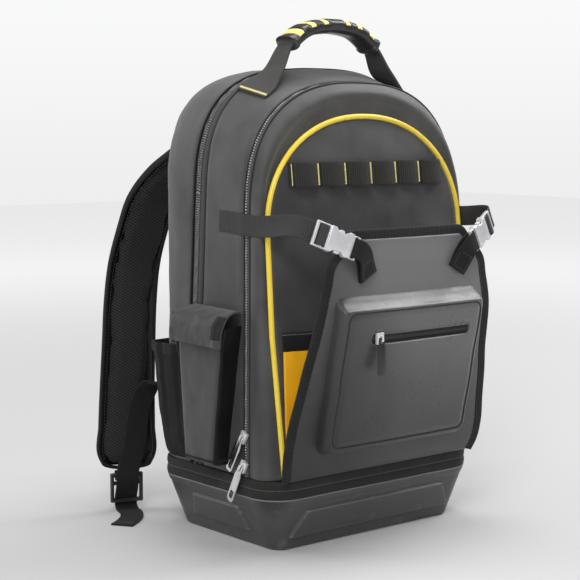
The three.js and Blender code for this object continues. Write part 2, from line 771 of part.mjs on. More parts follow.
function pullGeometry(length, width, window) {
  const eye = rectangle(-bailBar - eyeRoom, bailBar + eyeRoom, eyeBar, eyeEnd);
  const neck = width * pullShares.neck;
  const [tipX, tipY] = pullChamfer;
  const rightSide = [[neck, -eyeBar], [neck, neckEnd], [width / 2, neckEnd + neckFlare],
    [width / 2, length - tipY], [width / 2 - tipX, length]];
  const outline = [...rightSide, ...[...rightSide].reverse().map(([x, y]) => [-x, y])];
  const windowHalf = width * pullShares.window;
  const windowHole = rectangle(-windowHalf, windowHalf, length * pullShares.windowStart,
    length * pullShares.windowEnd);
  const holes = window ? [eye, windowHole] : [eye];
  const geometry = plate(outline, pullThickness, holes);
  geometry.translate(0, 0, bailAxis);
  return geometry;
}

function sideSlider(name, z, tilt) {
  const seat = vec(-sectionHalfWidth(zipLine, z) - zipRise, sectionY(zipLine, z), z);
  const along = vec(0, Math.sin(tilt), -Math.cos(tilt));
  const frame = frameAt(seat, along, vec(-1, 0, 0));
  addPiece(`slider_${name}`, 'silver', sliderGeometry().applyMatrix4(frame));
  addPiece(`pull_${name}`, 'chrome', pullGeometry(pullLength, pullWidth, true).applyMatrix4(frame));
}

sideSlider('upper', upperSliderZ, upperTilt);
sideSlider('lower', lowerSliderZ, lowerTilt);

const pocketZipFace = vec(pocketPullX, zipPlateY - zipPlateThickness / 2, zipSlotMiddleZ);
const pocketFrame = frameAt(pocketZipFace, vec(0, 0, -1), vec(0, -1, 0));
addPiece('pocket_slider', 'silver', sliderGeometry().applyMatrix4(pocketFrame));
addPiece('pocket_pull', 'rubber', pullGeometry(pocketPullLength, pocketPullWidth, false)
  .applyMatrix4(pocketFrame));

// Outer face of the body's side at a place: half width over the gussets and zips.
const sideRows = [frontRound, frontZipFront, zipLine, frontZipBack, rearZipFront, rearZipLine, rearZipBack,
  rearSide, backRound, backEdge];

function sideFace(y, z) {
  const rise = (s) => (s === zipLine || s === rearZipLine ? zipRise : 0);
  return alongRows(sideRows.map((s) => [sectionY(s, z), sectionHalfWidth(s, z) + rise(s)]), y);
}

// Grid of points moved along its own normals.
function offsetGrid(grid, distance) {
  const rows = grid.length - 1;
  const columns = grid[0].length - 1;
  return grid.map((row, i) => row.map((p, j) => {
    const down = grid[Math.min(i + 1, rows)][j].clone().sub(grid[Math.max(i - 1, 0)][j]);
    const along = row[Math.min(j + 1, columns)].clone().sub(row[Math.max(j - 1, 0)]);
    return p.clone().addScaledVector(down.cross(along).normalize(), distance);
  }));
}

// Holster pocket on the left side: walls and floor of a box that widens upwards, open to the body.
const holsterLevels = [0, 0.35, 0.7, 1];

function holsterLine(share, pulled, inset) {
  const z = mix(holsterBottom, holsterTop, share) + (share === 0 ? inset : 0);
  const depth = holsterDepth * mix(0.72, 1, share) - inset;
  const front = mix(holsterFront * 0.52, holsterFront, share);
  const rootFront = mix(holsterFront * 0.43, holsterFront * 0.78, share);
  const corner = 4;
  const line = [[0, holsterBack - inset], [depth - corner, holsterBack - inset],
    [depth, holsterBack - corner], [depth, front + corner + inset], [depth - corner, front + inset],
    [0, rootFront + inset]];
  return line.map(([out, y]) => vec(-sideFace(y, z) - softGap - out * pulled, y, z));
}

function holsterBox() {
  const walls = (inset) => holsterLevels.map((share) => holsterLine(share, 1, inset));
  const grid = (inset) => [holsterLine(0, 0, inset), ...walls(inset)];
  return sheet(grid(0), grid(thinCloth));
}

addPiece('holster_box', 'fabric', holsterBox());

// Flap over the holster: out and down as shares of the holster's depth and the flap's drop.
const flapRows = [[0, 0], [0.4, -0.02], [0.8, 0.1], [1.03, 0.32], [1.1, 0.62], [1.12, 1]];

const patchWidth = 13;

// Rows of the flap between two shares of its width, from its back edge to its front edge.
function flapGrid(rows, places) {
  return rows.map(([out, down]) => {
    const z = mix(flapHeight, flapDrop, down);
    const edge = mix(holsterFront * 0.82, holsterFront - 2, Math.min(out, 1));
    const reach = softGap + out * (holsterDepth + cloth);
    return places(edge).map((y) => vec(-sideFace(y, flapHeight) - reach, y, z));
  });
}

const flap = flapGrid(flapRows, (edge) => [0, 0.5, 1].map((t) => mix(holsterBack - 1, edge, t)));
addPiece('holster_flap', 'fabric', sheet(flap, offsetGrid(flap, cloth)));
const patch = flapGrid(flapRows.slice(2, 5), (edge) => [edge + patchWidth, edge + gap]);
addPiece('holster_patch', 'webbing', sheet(offsetGrid(patch, -softGap),
  offsetGrid(patch, -softGap - webbing)));

// Open bellows pocket behind the holster. Each row gives a place from front to back and its bulge there.
const bellows = [[0, 0], [0.1, 0.5], [0.3, 0.82], [0.52, 0.95], [0.74, 1.1], [0.9, 1.1], [0.97, 0.8], [1, 0]];
const bellowsLevels = [0, 0.2, 0.5, 0.8, 1];
const slantShare = 0.3;

const pocketTopAt = (u) => mix(flapHeight - 1, sidePocketHem, Math.min(u / slantShare, 1));

function pocketPoint(u, z) {
  const y = mix(sidePocketFront, sidePocketBack, u);
  const up = (z - sidePocketBottom) / (sidePocketHem - sidePocketBottom);
  const rise = mix(0.12, 1, Math.min(up, 1) ** 0.6);
  return vec(-sideFace(y, z) - softGap - alongRows(bellows, u) * rise * sidePocketBulge, y, z);
}

// Part of the pocket's wall between two places and two heights given for each place.
function pocketPart(places, lowAt, highAt, levels) {
  const grid = levels.map((v) => places.map((u) => pocketPoint(u, mix(lowAt(u), highAt(u), v))));
  return sheet(grid, offsetGrid(grid, thinCloth));
}

const allPlaces = bellows.map(([u]) => u);
const slantPlaces = allPlaces.filter((u) => u <= slantShare);
const hemPlaces = allPlaces.filter((u) => u >= slantShare);
hemPlaces[0] += gap / (sidePocketBack - sidePocketFront);
addPiece('side_pocket', 'fabric', pocketPart(allPlaces, () => sidePocketBottom,
  (u) => pocketTopAt(u) - hemHeight - softGap, bellowsLevels));
const hemFoot = (u) => pocketTopAt(u) - hemHeight;
addPiece('side_pocket_binding', 'webbing', pocketPart(slantPlaces, hemFoot, pocketTopAt, [0, 1]));
addPiece('side_pocket_hem', 'webbing', pocketPart(hemPlaces, hemFoot, pocketTopAt, [0, 1]));

// Top of the body at a place between the zips.
function topAt(x, y) {
  const heights = [rearZipFront, frontZipBack].map((s) => {
    const shoulder = shoulderOf(s);
    const arch = s.top * packHeight - shoulder;
    const z = shoulder + arch * (1 - (Math.abs(x) / (s.wide * halfWidth)) ** s.round) ** (1 / s.round);
    return [-sectionY(s, z), z];
  });
  return alongRows(heights, -y);
}

// Carry handle: webbing from anchors on the middle gusset, rising into the grip.
// Columns: place across as a share of the half grip, rise and width as shares of their full size.
const handleStops = [
  { across: 1.3, rise: 0.3, width: 0.8 }, { across: 1, rise: 0.7, width: 0.57 },
  { across: 0.72, rise: 0.88, width: 0.57 }, { across: 0.36, rise: 0.98, width: 0.57 },
];
const anchorOut = [1.8, 1.62];
const crownZ = packHeight + handleRise;
const handleFoot = topAt(anchorOut[1] * gripHalfLength, handleMiddleY);

function handlePoint({ across, rise, width }) {
  return { at: vec(-across * gripHalfLength, handleMiddleY, mix(handleFoot, crownZ, rise)),
    wide: vec(0, 1, 0), width: width * handleWidth, thickness: handleThickness };
}

function anchorPoint(out) {
  const x = out * gripHalfLength;
  const [rear, front] = [1, -1].map((sign) => handleMiddleY + sign * handleWidth / 2);
  const lift = (y) => topAt(x, y) + (gap + softGap + handleThickness / 2) / anchorSlope;
  return { at: vec(-x, handleMiddleY, lift(handleMiddleY)),
    wide: vec(0, rear - front, lift(rear) - lift(front)), width: handleWidth, thickness: handleThickness };
}

const flipStop = (stop) => ({ ...stop, at: mirrorX(stop.at), wide: mirrorX(stop.wide) });
const leftHandle = [...anchorOut.map(anchorPoint), ...handleStops.map(handlePoint)];
const handleTopStop = handlePoint({ across: 0, rise: 1, width: 0.57 });
const backStops = [...leftHandle].reverse().map((stop) => ({ ...flipStop(stop), wide: stop.wide.clone() }));
backStops.forEach((stop) => { stop.wide.x = -stop.wide.x; });
addPiece('handle_webbing', 'webbing', sweep([...leftHandle, handleTopStop, ...backStops]));

// Rubber grip round the webbing, notched for the yellow ribs, which end below the grip's middle.
const gripStops = [...handleStops.slice(1), { across: 0, rise: 1 }].map(handlePoint);
const gripLine = [...gripStops, ...gripStops.slice(0, -1).reverse().map(flipStop)].map((stop) => ({ ...stop,
  wide: vec(0, 1, 0) }));

function gripRings(width, thickness) {
  return framesAlong(gripLine).map((frame) => roundSection.map(([across, out]) => frame.at.clone()
    .addScaledVector(frame.wide, across * width / 2)
    .addScaledVector(frame.normal, out * frame.stretch * thickness / 2)));
}

const gripHole = gripRings(handleNarrow + 4 * gap, handleThickness + 8 * gap);
const ribPlaces = [0.26, 0.54, 0.82];
const ribFoot = 0.15;
const ribPast = 1.1;

function ribBand(place, grow) {
  const reach = ribLength / 2 + grow;
  const middle = place * gripHalfLength;
  const slice = boxBetween(vec(middle - reach, -packDepth, mix(handleFoot, crownZ, 0.5)),
    vec(middle + reach, packDepth, crownZ + gripThickness));
  const gripSolid = (swell) => toSolid(loft(gripRings(gripWidth + swell, gripThickness + swell)));
  const outer = gripSolid(2 * ribRise + 4 * grow);
  const core = gripSolid(-2 * ribDepth - 2 * grow);
  const below = rectangle(-gripWidth, gripWidth, -gripThickness, -gripThickness * ribFoot - grow);
  const lower = toSolid(loft(gripLine.map((stop) => below.map(([y, z]) => vec(stop.at.x * ribPast,
    stop.at.y + y, stop.at.z + z)))));
  return outer.intersect(toSolid(slice)).subtract(core).subtract(lower);
}

const ribSpots = [...ribPlaces.map((place) => -place).reverse(), ...ribPlaces];
const sleeve = toSolid(loft([...gripRings(gripWidth, gripThickness), ...[...gripHole].reverse()], true));
const notched = ribSpots.reduce((solid, place) => solid.subtract(ribBand(place, gap)), sleeve);
addPiece('handle_grip', 'rubber', fromSolid(notched));
ribSpots.forEach((place, i) => addPiece(`grip_rib_${i + 1}`, 'yellow', fromSolid(ribBand(place, 0))));

// Adds a piece on the left side and its mirror image on the right.
function addPair(name, look, geometry) {
  addPiece(`${name}_left`, look, geometry);
  const position = geometry.getAttribute('position');
  const points = Array.from({ length: position.count }, (_, i) => vec(-position.getX(i), position.getY(i),
    position.getZ(i)));
  const index = Array.from(geometry.index ? geometry.index.array : points.keys());
  const triangles = [];
  for (let i = 0; i < index.length; i += 3) triangles.push([index[i], index[i + 1], index[i + 2]]);
  addPiece(`${name}_right`, look, closedGeometry(points, triangles));
}

// Buckle frame: u runs from the ladder to the cover, v across it, n out of its face.
const buckleStart = vec(-0.845 * halfWidth, -0.94 * coverLean, coverTop + gap);
const buckleU = vec(0.89, -0.32, -0.39).normalize();
const buckleN = buckleU.clone().cross(vec(0.46, 0, 0.89)).normalize();
const buckleV = buckleN.clone().cross(buckleU).normalize();
const buckleMatrix = new THREE.Matrix4().makeBasis(buckleU, buckleV, buckleN).setPosition(buckleStart);
const buckleAt = (u, n) => vec(u, 0, n).applyMatrix4(buckleMatrix);

// Shares of the buckle's length where its bars, slots and waist lie.
const ladder = { firstBar: 0.06, firstSlot: 0.15, middleBar: 0.23, secondSlot: 0.31, body: 0.3 };
const waist = { start: 0.42, in: 0.5, out: 0.64, end: 0.74, depth: 0.72 };
const bodyEnd = 0.84;
const clipBar = { slotStart: 0.885, slotEnd: 0.955 };

const alongBuckle = (share) => share * buckleLength;
const acrossBuckle = (share) => share * buckleWidth / 2;

function sides(points) {
  const upper = points.map(([u, w]) => [alongBuckle(u), acrossBuckle(w)]);
  return [...upper, ...[...upper].reverse().map(([u, w]) => [u, -w])];
}

function buckleBody() {
  const slotHalf = strapWidth / 2 + gap;
  const slot = (from, to) => rectangle(alongBuckle(from), alongBuckle(to), -slotHalf, slotHalf);
  const ladderPlate = plate(sides([[0, 1], [ladder.body + 0.05, 1]]), ladderThickness,
    [slot(ladder.firstBar, ladder.firstSlot), slot(ladder.middleBar, ladder.secondSlot - 0.01)]);
  const shell = plate(sides([[ladder.body + 0.02, 1], [waist.start, 1], [waist.in, waist.depth],
    [waist.out, waist.depth], [waist.end, 1], [bodyEnd, 0.92]]), buckleThickness);
  const tunnel = plate(sides([[0.44, 0.77], [1, 0.77]]), ladderThickness + 2 * gap);
  return fromSolid(toSolid(ladderPlate).add(toSolid(shell)).subtract(toSolid(tunnel)));
}

function buckleClip() {
  const outline = [[1, 0.92], [bodyEnd + 0.01, 0.92], [bodyEnd + 0.01, 0.72], [0.64, 0.72], [0.62, 0.94],
    [0.525, 0.94], [0.515, 0.72], [0.46, 0.66], [0.46, 0.5], [0.76, 0.5], [0.82, 0.4]];
  const slot = rectangle(alongBuckle(clipBar.slotStart), alongBuckle(clipBar.slotEnd), -acrossBuckle(0.86),
    acrossBuckle(0.86));
  return fromSolid(toSolid(plate(sides(outline), ladderThickness, [slot])));
}

addPair('buckle_body', 'silver', buckleBody().applyMatrix4(buckleMatrix));
addPair('buckle_clip', 'silver', buckleClip().applyMatrix4(buckleMatrix));

// Side strap: sewn on the middle gusset, over the zip and the piping, then woven through the ladder.
const strapPlaces = [-16, -42, sectionY(zipLine, strapHeight), -75];
const strapOut = softGap + webbing / 2;
const ladderRoute = [[-0.2, -1], [0.078, -1], [0.132, 1], [0.244, 1], [0.272, -0.16]];
const ladderReach = ladderThickness / 2 + gap + webbing / 2;

function strapStop(at) {
  return { at, wide: vec(0, 0, 1), width: strapWidth, thickness: webbing };
}

const onBody = strapPlaces.map((y, i) => strapStop(vec(-sideFace(y, strapHeight) - strapOut, y,
  strapHeight - i)));
const inBuckle = ladderRoute.map(([u, n]) => ({ ...strapStop(buckleAt(alongBuckle(u), n * ladderReach)),
  wide: buckleV.clone() }));
addPair('side_strap', 'webbing', sweep([...onBody, ...inBuckle]));

// Tab: webbing folded through the clip's bar and sewn on the cover.
const tabEnd = vec(-0.444 * coverHalfWidth, 0, coverTop - tabDrop);
const tabWide = vec(0.82, -0.05, 0.57);
const tabRoute = [[1.07, 0.85], [0.985, 1.02], [0.935, 1], [0.92, 0.7], [0.92, -0.7], [0.935, -1],
  [0.985, -1.02], [1.06, -1.25]];

function tabSeat(layer) {
  const y = coverFace(tabEnd.x, tabEnd.z) - cloth / 2 - 2 * softGap - webbing / 2 - layer * (webbing + gap);
  return { at: vec(tabEnd.x, y, tabEnd.z), wide: tabWide.clone(), width: tabWidth, thickness: webbing };
}

const tabLoop = tabRoute.map(([u, n]) => ({ at: buckleAt(alongBuckle(u), n * ladderReach),
  wide: buckleV.clone(), width: strapWidth - 2, thickness: webbing, skewed: true }));
addPair('cover_tab', 'webbing', sweep([tabSeat(1), ...tabLoop, tabSeat(0)]));

// Shoulder strap: places out to the side as shares of the half width, back as shares of the reach behind
// the back panel, up as shares of the pack's height.
const padRows = [
  { out: 0.4, back: 0.088, up: 0.926, turn: 0, width: 0.78 },
  { out: 0.405, back: 0.092, up: 0.887, turn: 0, width: 0.8 },
  { out: 0.44, back: 0.25, up: 0.843, turn: 0, width: 0.85 },
  { out: 0.52, back: 0.53, up: 0.797, turn: 0.05, width: 0.92 },
  { out: 0.613, back: 0.72, up: 0.757, turn: 0.1, width: 0.96 },
  { out: 0.693, back: 0.87, up: 0.706, turn: 0.2, width: 1 },
  { out: 0.76, back: 0.94, up: 0.638, turn: 0.35, width: 1 },
  { out: 0.813, back: 1, up: 0.565, turn: 0.5, width: 1 },
  { out: 0.867, back: 0.965, up: 0.477, turn: 0.65, width: 1 },
  { out: 0.907, back: 0.905, up: 0.386, turn: 0.8, width: 1 },
  { out: 0.933, back: 0.88, up: 0.29, turn: 0.9, width: 1.02 },
  { out: 0.953, back: 0.855, up: 0.195, turn: 1, width: 1.05 },
  { out: 0.967, back: 0.83, up: 0.123, turn: 1, width: 1.05 },
  { out: 0.973, back: 0.82, up: 0.095, turn: 1, width: 0.8 },
];
const backOuter = backFace + backPadding;
const padStops = padRows.map((row) => ({
  at: vec(-row.out * halfWidth, backOuter + row.back * padReach, row.up * packHeight),
  wide: vec(Math.cos(row.turn * strapTurn), -Math.sin(row.turn * strapTurn), 0),
  width: row.width * padWidth, thickness: padThickness }));
addPair('shoulder_strap', 'mesh', sweep(padStops, roundSection));

// Ladder lock below the strap: w across it, v up it, n out towards the bag.
const padEnd = padStops[padStops.length - 1];
const lockW = padEnd.wide.clone();
const lockV = vec(0, 0, 1);
const lockN = vec(-Math.sin(strapTurn), -Math.cos(strapTurn), 0);
const lockMatrix = new THREE.Matrix4().makeBasis(lockW, lockV, lockW.clone().cross(lockV))
  .setPosition(vec(padEnd.at.x, padEnd.at.y, lockFloor));
const lockAt = (v, n) => vec(padEnd.at.x, padEnd.at.y, lockFloor + v).addScaledVector(lockN, n);
const lockSlots = [[0.13, 0.6], [0.72, 0.88]];

function ladderLock() {
  const outline = rectangle(-lockWidth / 2, lockWidth / 2, 0, lockHeight);
  const reach = lockWidth / 2 - lockBar;
  const holes = lockSlots.map(([low, high]) => rectangle(-reach, reach, low * lockHeight, high * lockHeight));
  return plate(outline, lockThickness, holes).applyMatrix4(lockMatrix);
}

addPair('ladder_lock', 'rubber', fromSolid(toSolid(ladderLock())));

// Webbing loop that hangs the ladder lock on the strap, round the lock's top bar.
const padGap = (padEnd.at.z - lockFloor - lockHang) / lockHeight;
const loopRoute = [[padGap, 1], [0.87, 1.05], [0.795, 0.6], [0.795, -0.6], [0.87, -1.05], [padGap, -1]];
const lockReach = lockThickness / 2 + gap + webbing / 2;
const lockStop = ([v, n]) => ({ at: lockAt(v * lockHeight, n * lockReach), wide: lockW.clone(),
  width: lowerWebbing, thickness: webbing });
addPair('strap_loop', 'webbing', sweep(loopRoute.map(lockStop)));

// Lower webbing: from the foot of the back panel over to the front of the strap, through the lock, and a
// free tail that lies on the floor. Places out, back and up are shares as in the strap's rows.
const lowerRows = [[0.667, 0.016, 0.163], [0.673, 0.018, 0.218], [0.707, 0.095, 0.266], [0.773, 0.295, 0.298],
  [0.847, 0.495, 0.294], [0.893, 0.595, 0.262], [0.92, 0.67, 0.209], [0.935, 0.7, 0.149]];
const lowerStart = lowerRows.map(([out, back, up], i) => ({
  at: vec(-out * halfWidth, backOuter + back * padReach, up * packHeight),
  wide: vec(Math.cos(i / lowerRows.length * strapTurn), -Math.sin(i / lowerRows.length * strapTurn), 0),
  width: lowerWebbing, thickness: webbing }));
const lockRoute = [[1.06, 1.95], [0.8, 1.75], [0.66, 1.25], [0.5, 0.7], [0.2, -0.9], [0.1, -1.3],
  [-0.05, -1.3], [-0.15, -0.9], [-0.215, 0.3]];
const tailTurns = [0, 0.2, 0.45, 0.62];

function tailStops() {
  const start = lockRoute[lockRoute.length - 1];
  let at = lockStop(start).at;
  return tailTurns.map((turn) => {
    const heading = vec(-Math.sin(strapTurn + turn), -Math.cos(strapTurn + turn), 0);
    at = at.clone().addScaledVector(heading, tailLength / tailTurns.length);
    at.z = gap + webbing / 2;
    return { at, wide: vec(-heading.y, heading.x, 0), width: lowerWebbing, thickness: webbing };
  });
}

addPair('lower_webbing', 'webbing', sweep([...lowerStart, ...lockRoute.map(lockStop), ...tailStops()]));

export default part;
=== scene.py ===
"""Looks of the tool backpack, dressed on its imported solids.

Sizes are in millimetres in the part's frame: the front faces -Y, the pack's own left side -X, Z is up.
"""

import json
import logging
import math
from dataclasses import dataclass
from enum import Enum
from functools import cached_property
from typing import Callable, Sequence

import bmesh
import bpy
from mathutils import Matrix, Vector, noise

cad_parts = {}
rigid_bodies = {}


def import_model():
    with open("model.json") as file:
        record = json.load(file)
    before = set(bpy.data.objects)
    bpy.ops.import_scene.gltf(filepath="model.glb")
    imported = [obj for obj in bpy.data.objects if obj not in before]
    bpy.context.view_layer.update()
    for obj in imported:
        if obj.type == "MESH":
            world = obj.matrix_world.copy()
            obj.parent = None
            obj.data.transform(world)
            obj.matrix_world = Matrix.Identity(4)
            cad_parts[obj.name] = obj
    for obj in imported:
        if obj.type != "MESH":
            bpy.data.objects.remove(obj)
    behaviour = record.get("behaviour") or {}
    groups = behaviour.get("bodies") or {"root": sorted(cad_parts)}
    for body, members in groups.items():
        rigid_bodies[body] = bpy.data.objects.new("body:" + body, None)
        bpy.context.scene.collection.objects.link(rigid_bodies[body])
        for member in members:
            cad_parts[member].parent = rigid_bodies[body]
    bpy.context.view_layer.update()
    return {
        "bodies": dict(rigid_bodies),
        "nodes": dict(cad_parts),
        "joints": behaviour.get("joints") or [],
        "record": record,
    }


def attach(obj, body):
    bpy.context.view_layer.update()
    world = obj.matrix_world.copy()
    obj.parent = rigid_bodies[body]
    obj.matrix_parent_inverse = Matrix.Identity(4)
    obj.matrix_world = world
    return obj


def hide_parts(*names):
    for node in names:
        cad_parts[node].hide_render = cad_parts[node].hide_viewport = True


log = logging.getLogger("backpack")

MM = 0.001
PACK = "pack"
Color = tuple[float, float, float]
Place = Callable[[float, float], Vector]


def mix(a: float, b: float, t: float) -> float:
    """Value between a and b at share t."""
    return a + (b - a) * t


def clamp(value: float, low: float = 0.0, high: float = 1.0) -> float:
    """Value held between low and high."""
    return max(low, min(high, value))


def smooth(value: float, low: float, high: float) -> float:
    """Soft step from 0 at low to 1 at high."""
    t = clamp((value - low) / (high - low))
    return t * t * (3 - 2 * t)


def rumple(point: Vector, size: float, depth: float, seed: float = 0.0) -> float:
    """Soft uneven height of cloth at a point.

    Args:
        point: place in millimetres.
        size: width of a swell in millimetres.
        depth: height of a swell in millimetres.
        seed: shift of the pattern.

    Returns:
        Height in millimetres, about zero on average.
    """
    return depth * noise.noise(point / size + Vector((seed, 2 * seed, 3 * seed)))


class Track:
    """Smooth line through rows of numbers, each at a place along it."""

    def __init__(self, places: Sequence[float], rows: Sequence[Sequence[float]], whole: float = 0.0) -> None:
        """Keeps the rows and works out a slope at each.

        Args:
            places: rising places, one for each row.
            rows: the numbers at those places.
            whole: length in millimetres that the places are shares of, where they are shares.
        """
        self.whole = whole
        self.places = list(places)
        self.rows = [list(row) for row in rows]
        last = len(self.places) - 1
        steps = [[(b - a) / (self.places[i + 1] - self.places[i])
                  for a, b in zip(self.rows[i], self.rows[i + 1])] for i in range(last)]
        self.slopes = [steps[0]]
        for i in range(1, last):
            before = self.places[i] - self.places[i - 1]
            after = self.places[i + 1] - self.places[i]
            self.slopes.append([(a * after + b * before) / (before + after)
                                for a, b in zip(steps[i - 1], steps[i])])
        self.slopes.append(steps[-1])

    @classmethod
    def through(cls, points: Sequence[Sequence[float]], head: int = 3) -> "Track":
        """Track through points, with its places measured along their first numbers.

        Args:
            points: rows that start with a position.
            head: how many numbers make up the position.

        Returns:
            The track, its places being lengths in millimetres.
        """
        places = [0.0]
        for a, b in zip(points, points[1:]):
            step = Vector(b[:head]) - Vector(a[:head])
            places.append(places[-1] + max(step.length, 1e-6))
        return cls(places, points)

    @property
    def length(self) -> float:
        """Last place of the track."""
        return self.places[-1]

    def at(self, place: float) -> list[float]:
        """Numbers at a place.

        Args:
            place: where along the track.

        Returns:
            The row there.
        """
        place = clamp(place, self.places[0], self.places[-1])
        i = 0
        while i < len(self.places) - 2 and place > self.places[i + 1]:
            i += 1
        span = self.places[i + 1] - self.places[i]
        t = (place - self.places[i]) / span
        a, b, c, d = 2 * t**3 - 3 * t**2 + 1, t**3 - 2 * t**2 + t, -2 * t**3 + 3 * t**2, t**3 - t**2
        return [a * p + b * span * m + c * q + d * span * n for p, m, q, n in
                zip(self.rows[i], self.slopes[i], self.rows[i + 1], self.slopes[i + 1])]


class Wire:
    """A shader value that takes part in Python expressions."""

    def __init__(self, shader: "Shader", socket: bpy.types.NodeSocket) -> None:
        """Keeps the socket and the shader that it belongs to."""
        self.shader = shader
        self.socket = socket

    def math(self, operation: str, *others: "Wire | float") -> "Wire":
        """Math node of this value and others.

        Args:
            operation: the node's operation.
            others: its further values.

        Returns:
            The result.
        """
        values = dict(enumerate((self, *others)))
        return self.shader.node("ShaderNodeMath", {"operation": operation}, values)

    def __add__(self, other: "Wire | float") -> "Wire":
        """Sum."""
        return self.math("ADD", other)

    __radd__ = __add__

    def __mul__(self, other: "Wire | float") -> "Wire":
        """Product."""
        return self.math("MULTIPLY", other)

    __rmul__ = __mul__

    def __sub__(self, other: "Wire | float") -> "Wire":
        """Difference."""
        return self.math("SUBTRACT", other)

    def __rsub__(self, other: float) -> "Wire":
        """Difference from a number."""
        return (self * -1.0) + other

    def sine(self) -> "Wire":
        """Sine."""
        return self.math("SINE")

    def step(self, low: float, high: float) -> "Wire":
        """Soft step of the value.

        Args:
            low: value that gives 0.
            high: value that gives 1.

        Returns:
            The share between them.
        """
        values = {"Value": self, "From Min": low, "From Max": high}
        return self.shader.node("ShaderNodeMapRange", {"interpolation_type": "SMOOTHSTEP"}, values)


class Shader:
    """Node tree of one material."""

    def __init__(self, name: str) -> None:
        """Starts an empty tree for a named material."""
        self.material = bpy.data.materials.new(name)
        self.material.use_nodes = True
        self.tree = self.material.node_tree
        self.tree.nodes.clear()

    def node(self, kind: str, settings: dict | None = None, values: dict | None = None,
             output: int = 0) -> Wire:
        """Adds a node.

        Args:
            kind: the node's type.
            settings: its properties, set first.
            values: numbers or wires for its sockets.
            output: which output is wanted.

        Returns:
            The wire at that output.
        """
        made = self.tree.nodes.new(kind)
        for key, value in (settings or {}).items():
            setattr(made, key, value)
        for key, value in (values or {}).items():
            if isinstance(value, Wire):
                self.tree.links.new(value.socket, made.inputs[key])
            else:
                made.inputs[key].default_value = value
        return Wire(self, made.outputs[output])

    def object_place(self) -> Wire:
        """Object coordinates, in metres."""
        return self.node("ShaderNodeTexCoord", output=3)

    def cloth_place(self) -> Wire:
        """The piece's own UV map, in metres along and across it."""
        return self.node("ShaderNodeTexCoord", output=2)

    def split(self, vector: Wire) -> tuple[Wire, Wire, Wire]:
        """Three numbers of a vector."""
        parts = self.node("ShaderNodeSeparateXYZ", {}, {0: vector})
        outputs = parts.socket.node.outputs
        return tuple(Wire(self, outputs[i]) for i in range(3))

    def noise(self, vector: Wire, size: float, detail: float = 2.0) -> Wire:
        """Noise between 0 and 1.

        Args:
            vector: coordinates in metres.
            size: width of its features in millimetres.
            detail: octaves.

        Returns:
            The noise.
        """
        values = {"Vector": vector, "Scale": 1 / (size * MM), "Detail": detail}
        return self.node("ShaderNodeTexNoise", {}, values)

    def waves(self, along: Wire, pitch: float) -> Wire:
        """Rounded ridges between 0 and 1, repeated at a pitch in millimetres."""
        return (along * (2 * math.pi / (pitch * MM))).sine() * 0.5 + 0.5

    def tint(self, share: Wire | float, first: Color, second: Color | Wire) -> Wire:
        """Colour between two others.

        Args:
            share: how much of the second.
            first: colour, or a wire with one.
            second: colour, or a wire with one.

        Returns:
            The mixed colour.
        """
        values = {0: share, 6: opaque(first), 7: opaque(second)}
        return self.node("ShaderNodeMix", {"data_type": "RGBA"}, values, 2)

    def bump(self, height: Wire, relief: float, below: Wire | None = None) -> Wire:
        """Normal of a relief.

        Args:
            height: between 0 and 1.
            relief: its height in millimetres.
            below: normal that it lies on.

        Returns:
            The normal.
        """
        values = {"Height": height, "Distance": relief * MM}
        if below is not None:
            values["Normal"] = below
        return self.node("ShaderNodeBump", {}, values)

    def finish(self, **sockets: "Wire | float | Color") -> bpy.types.Material:
        """Ends the tree in a Principled shader.

        Args:
            sockets: its values, with _ for the spaces in their names.

        Returns:
            The finished material.
        """
        values = {key.replace("_", " "): opaque(value) for key, value in sockets.items()}
        surface = self.node("ShaderNodeBsdfPrincipled", {}, values)
        self.node_output(surface)
        return self.material

    def node_output(self, surface: Wire) -> None:
        """Links a surface to the material's output."""
        made = self.tree.nodes.new("ShaderNodeOutputMaterial")
        self.tree.links.new(surface.socket, made.inputs["Surface"])


def opaque(value: object) -> object:
    """Colour with an alpha of 1; anything else stays as it is."""
    return (*value, 1.0) if isinstance(value, tuple) and len(value) == 3 else value


@dataclass(frozen=True)
class WovenCloth:
    """Coated woven cloth: fine plain weave, soft sheen, uneven tone, darker in the hollows of the weave."""

    name: str
    color: Color
    shade: Color
    pitch: float = 0.9
    relief: float = 0.08
    gloss: float = 0.5
    shine: float = 0.42
    sheen: float = 0.25

    def make(self) -> bpy.types.Material:
        """Builds the material."""
        s = Shader(self.name)
        spot = s.object_place()
        u, v, _ = s.split(s.cloth_place())
        weave = s.waves(u, self.pitch) * s.waves(v, self.pitch)
        broad = s.noise(spot, 55, 3)
        fine = s.noise(spot, 2.2, 3)
        tone = broad.step(0.3, 0.72) * 0.55 + fine * 0.25 + weave * 0.2
        rough = broad * 0.14 + fine * 0.1 + (self.gloss - 0.1)
        normal = s.bump(weave, self.relief, s.bump(fine, self.relief * 1.4, s.bump(broad, 0.9)))
        return s.finish(Base_Color=s.tint(tone, self.shade, self.color), Roughness=rough, Normal=normal,
                        Sheen_Weight=self.sheen, Sheen_Roughness=0.45, Specular_IOR_Level=self.shine)


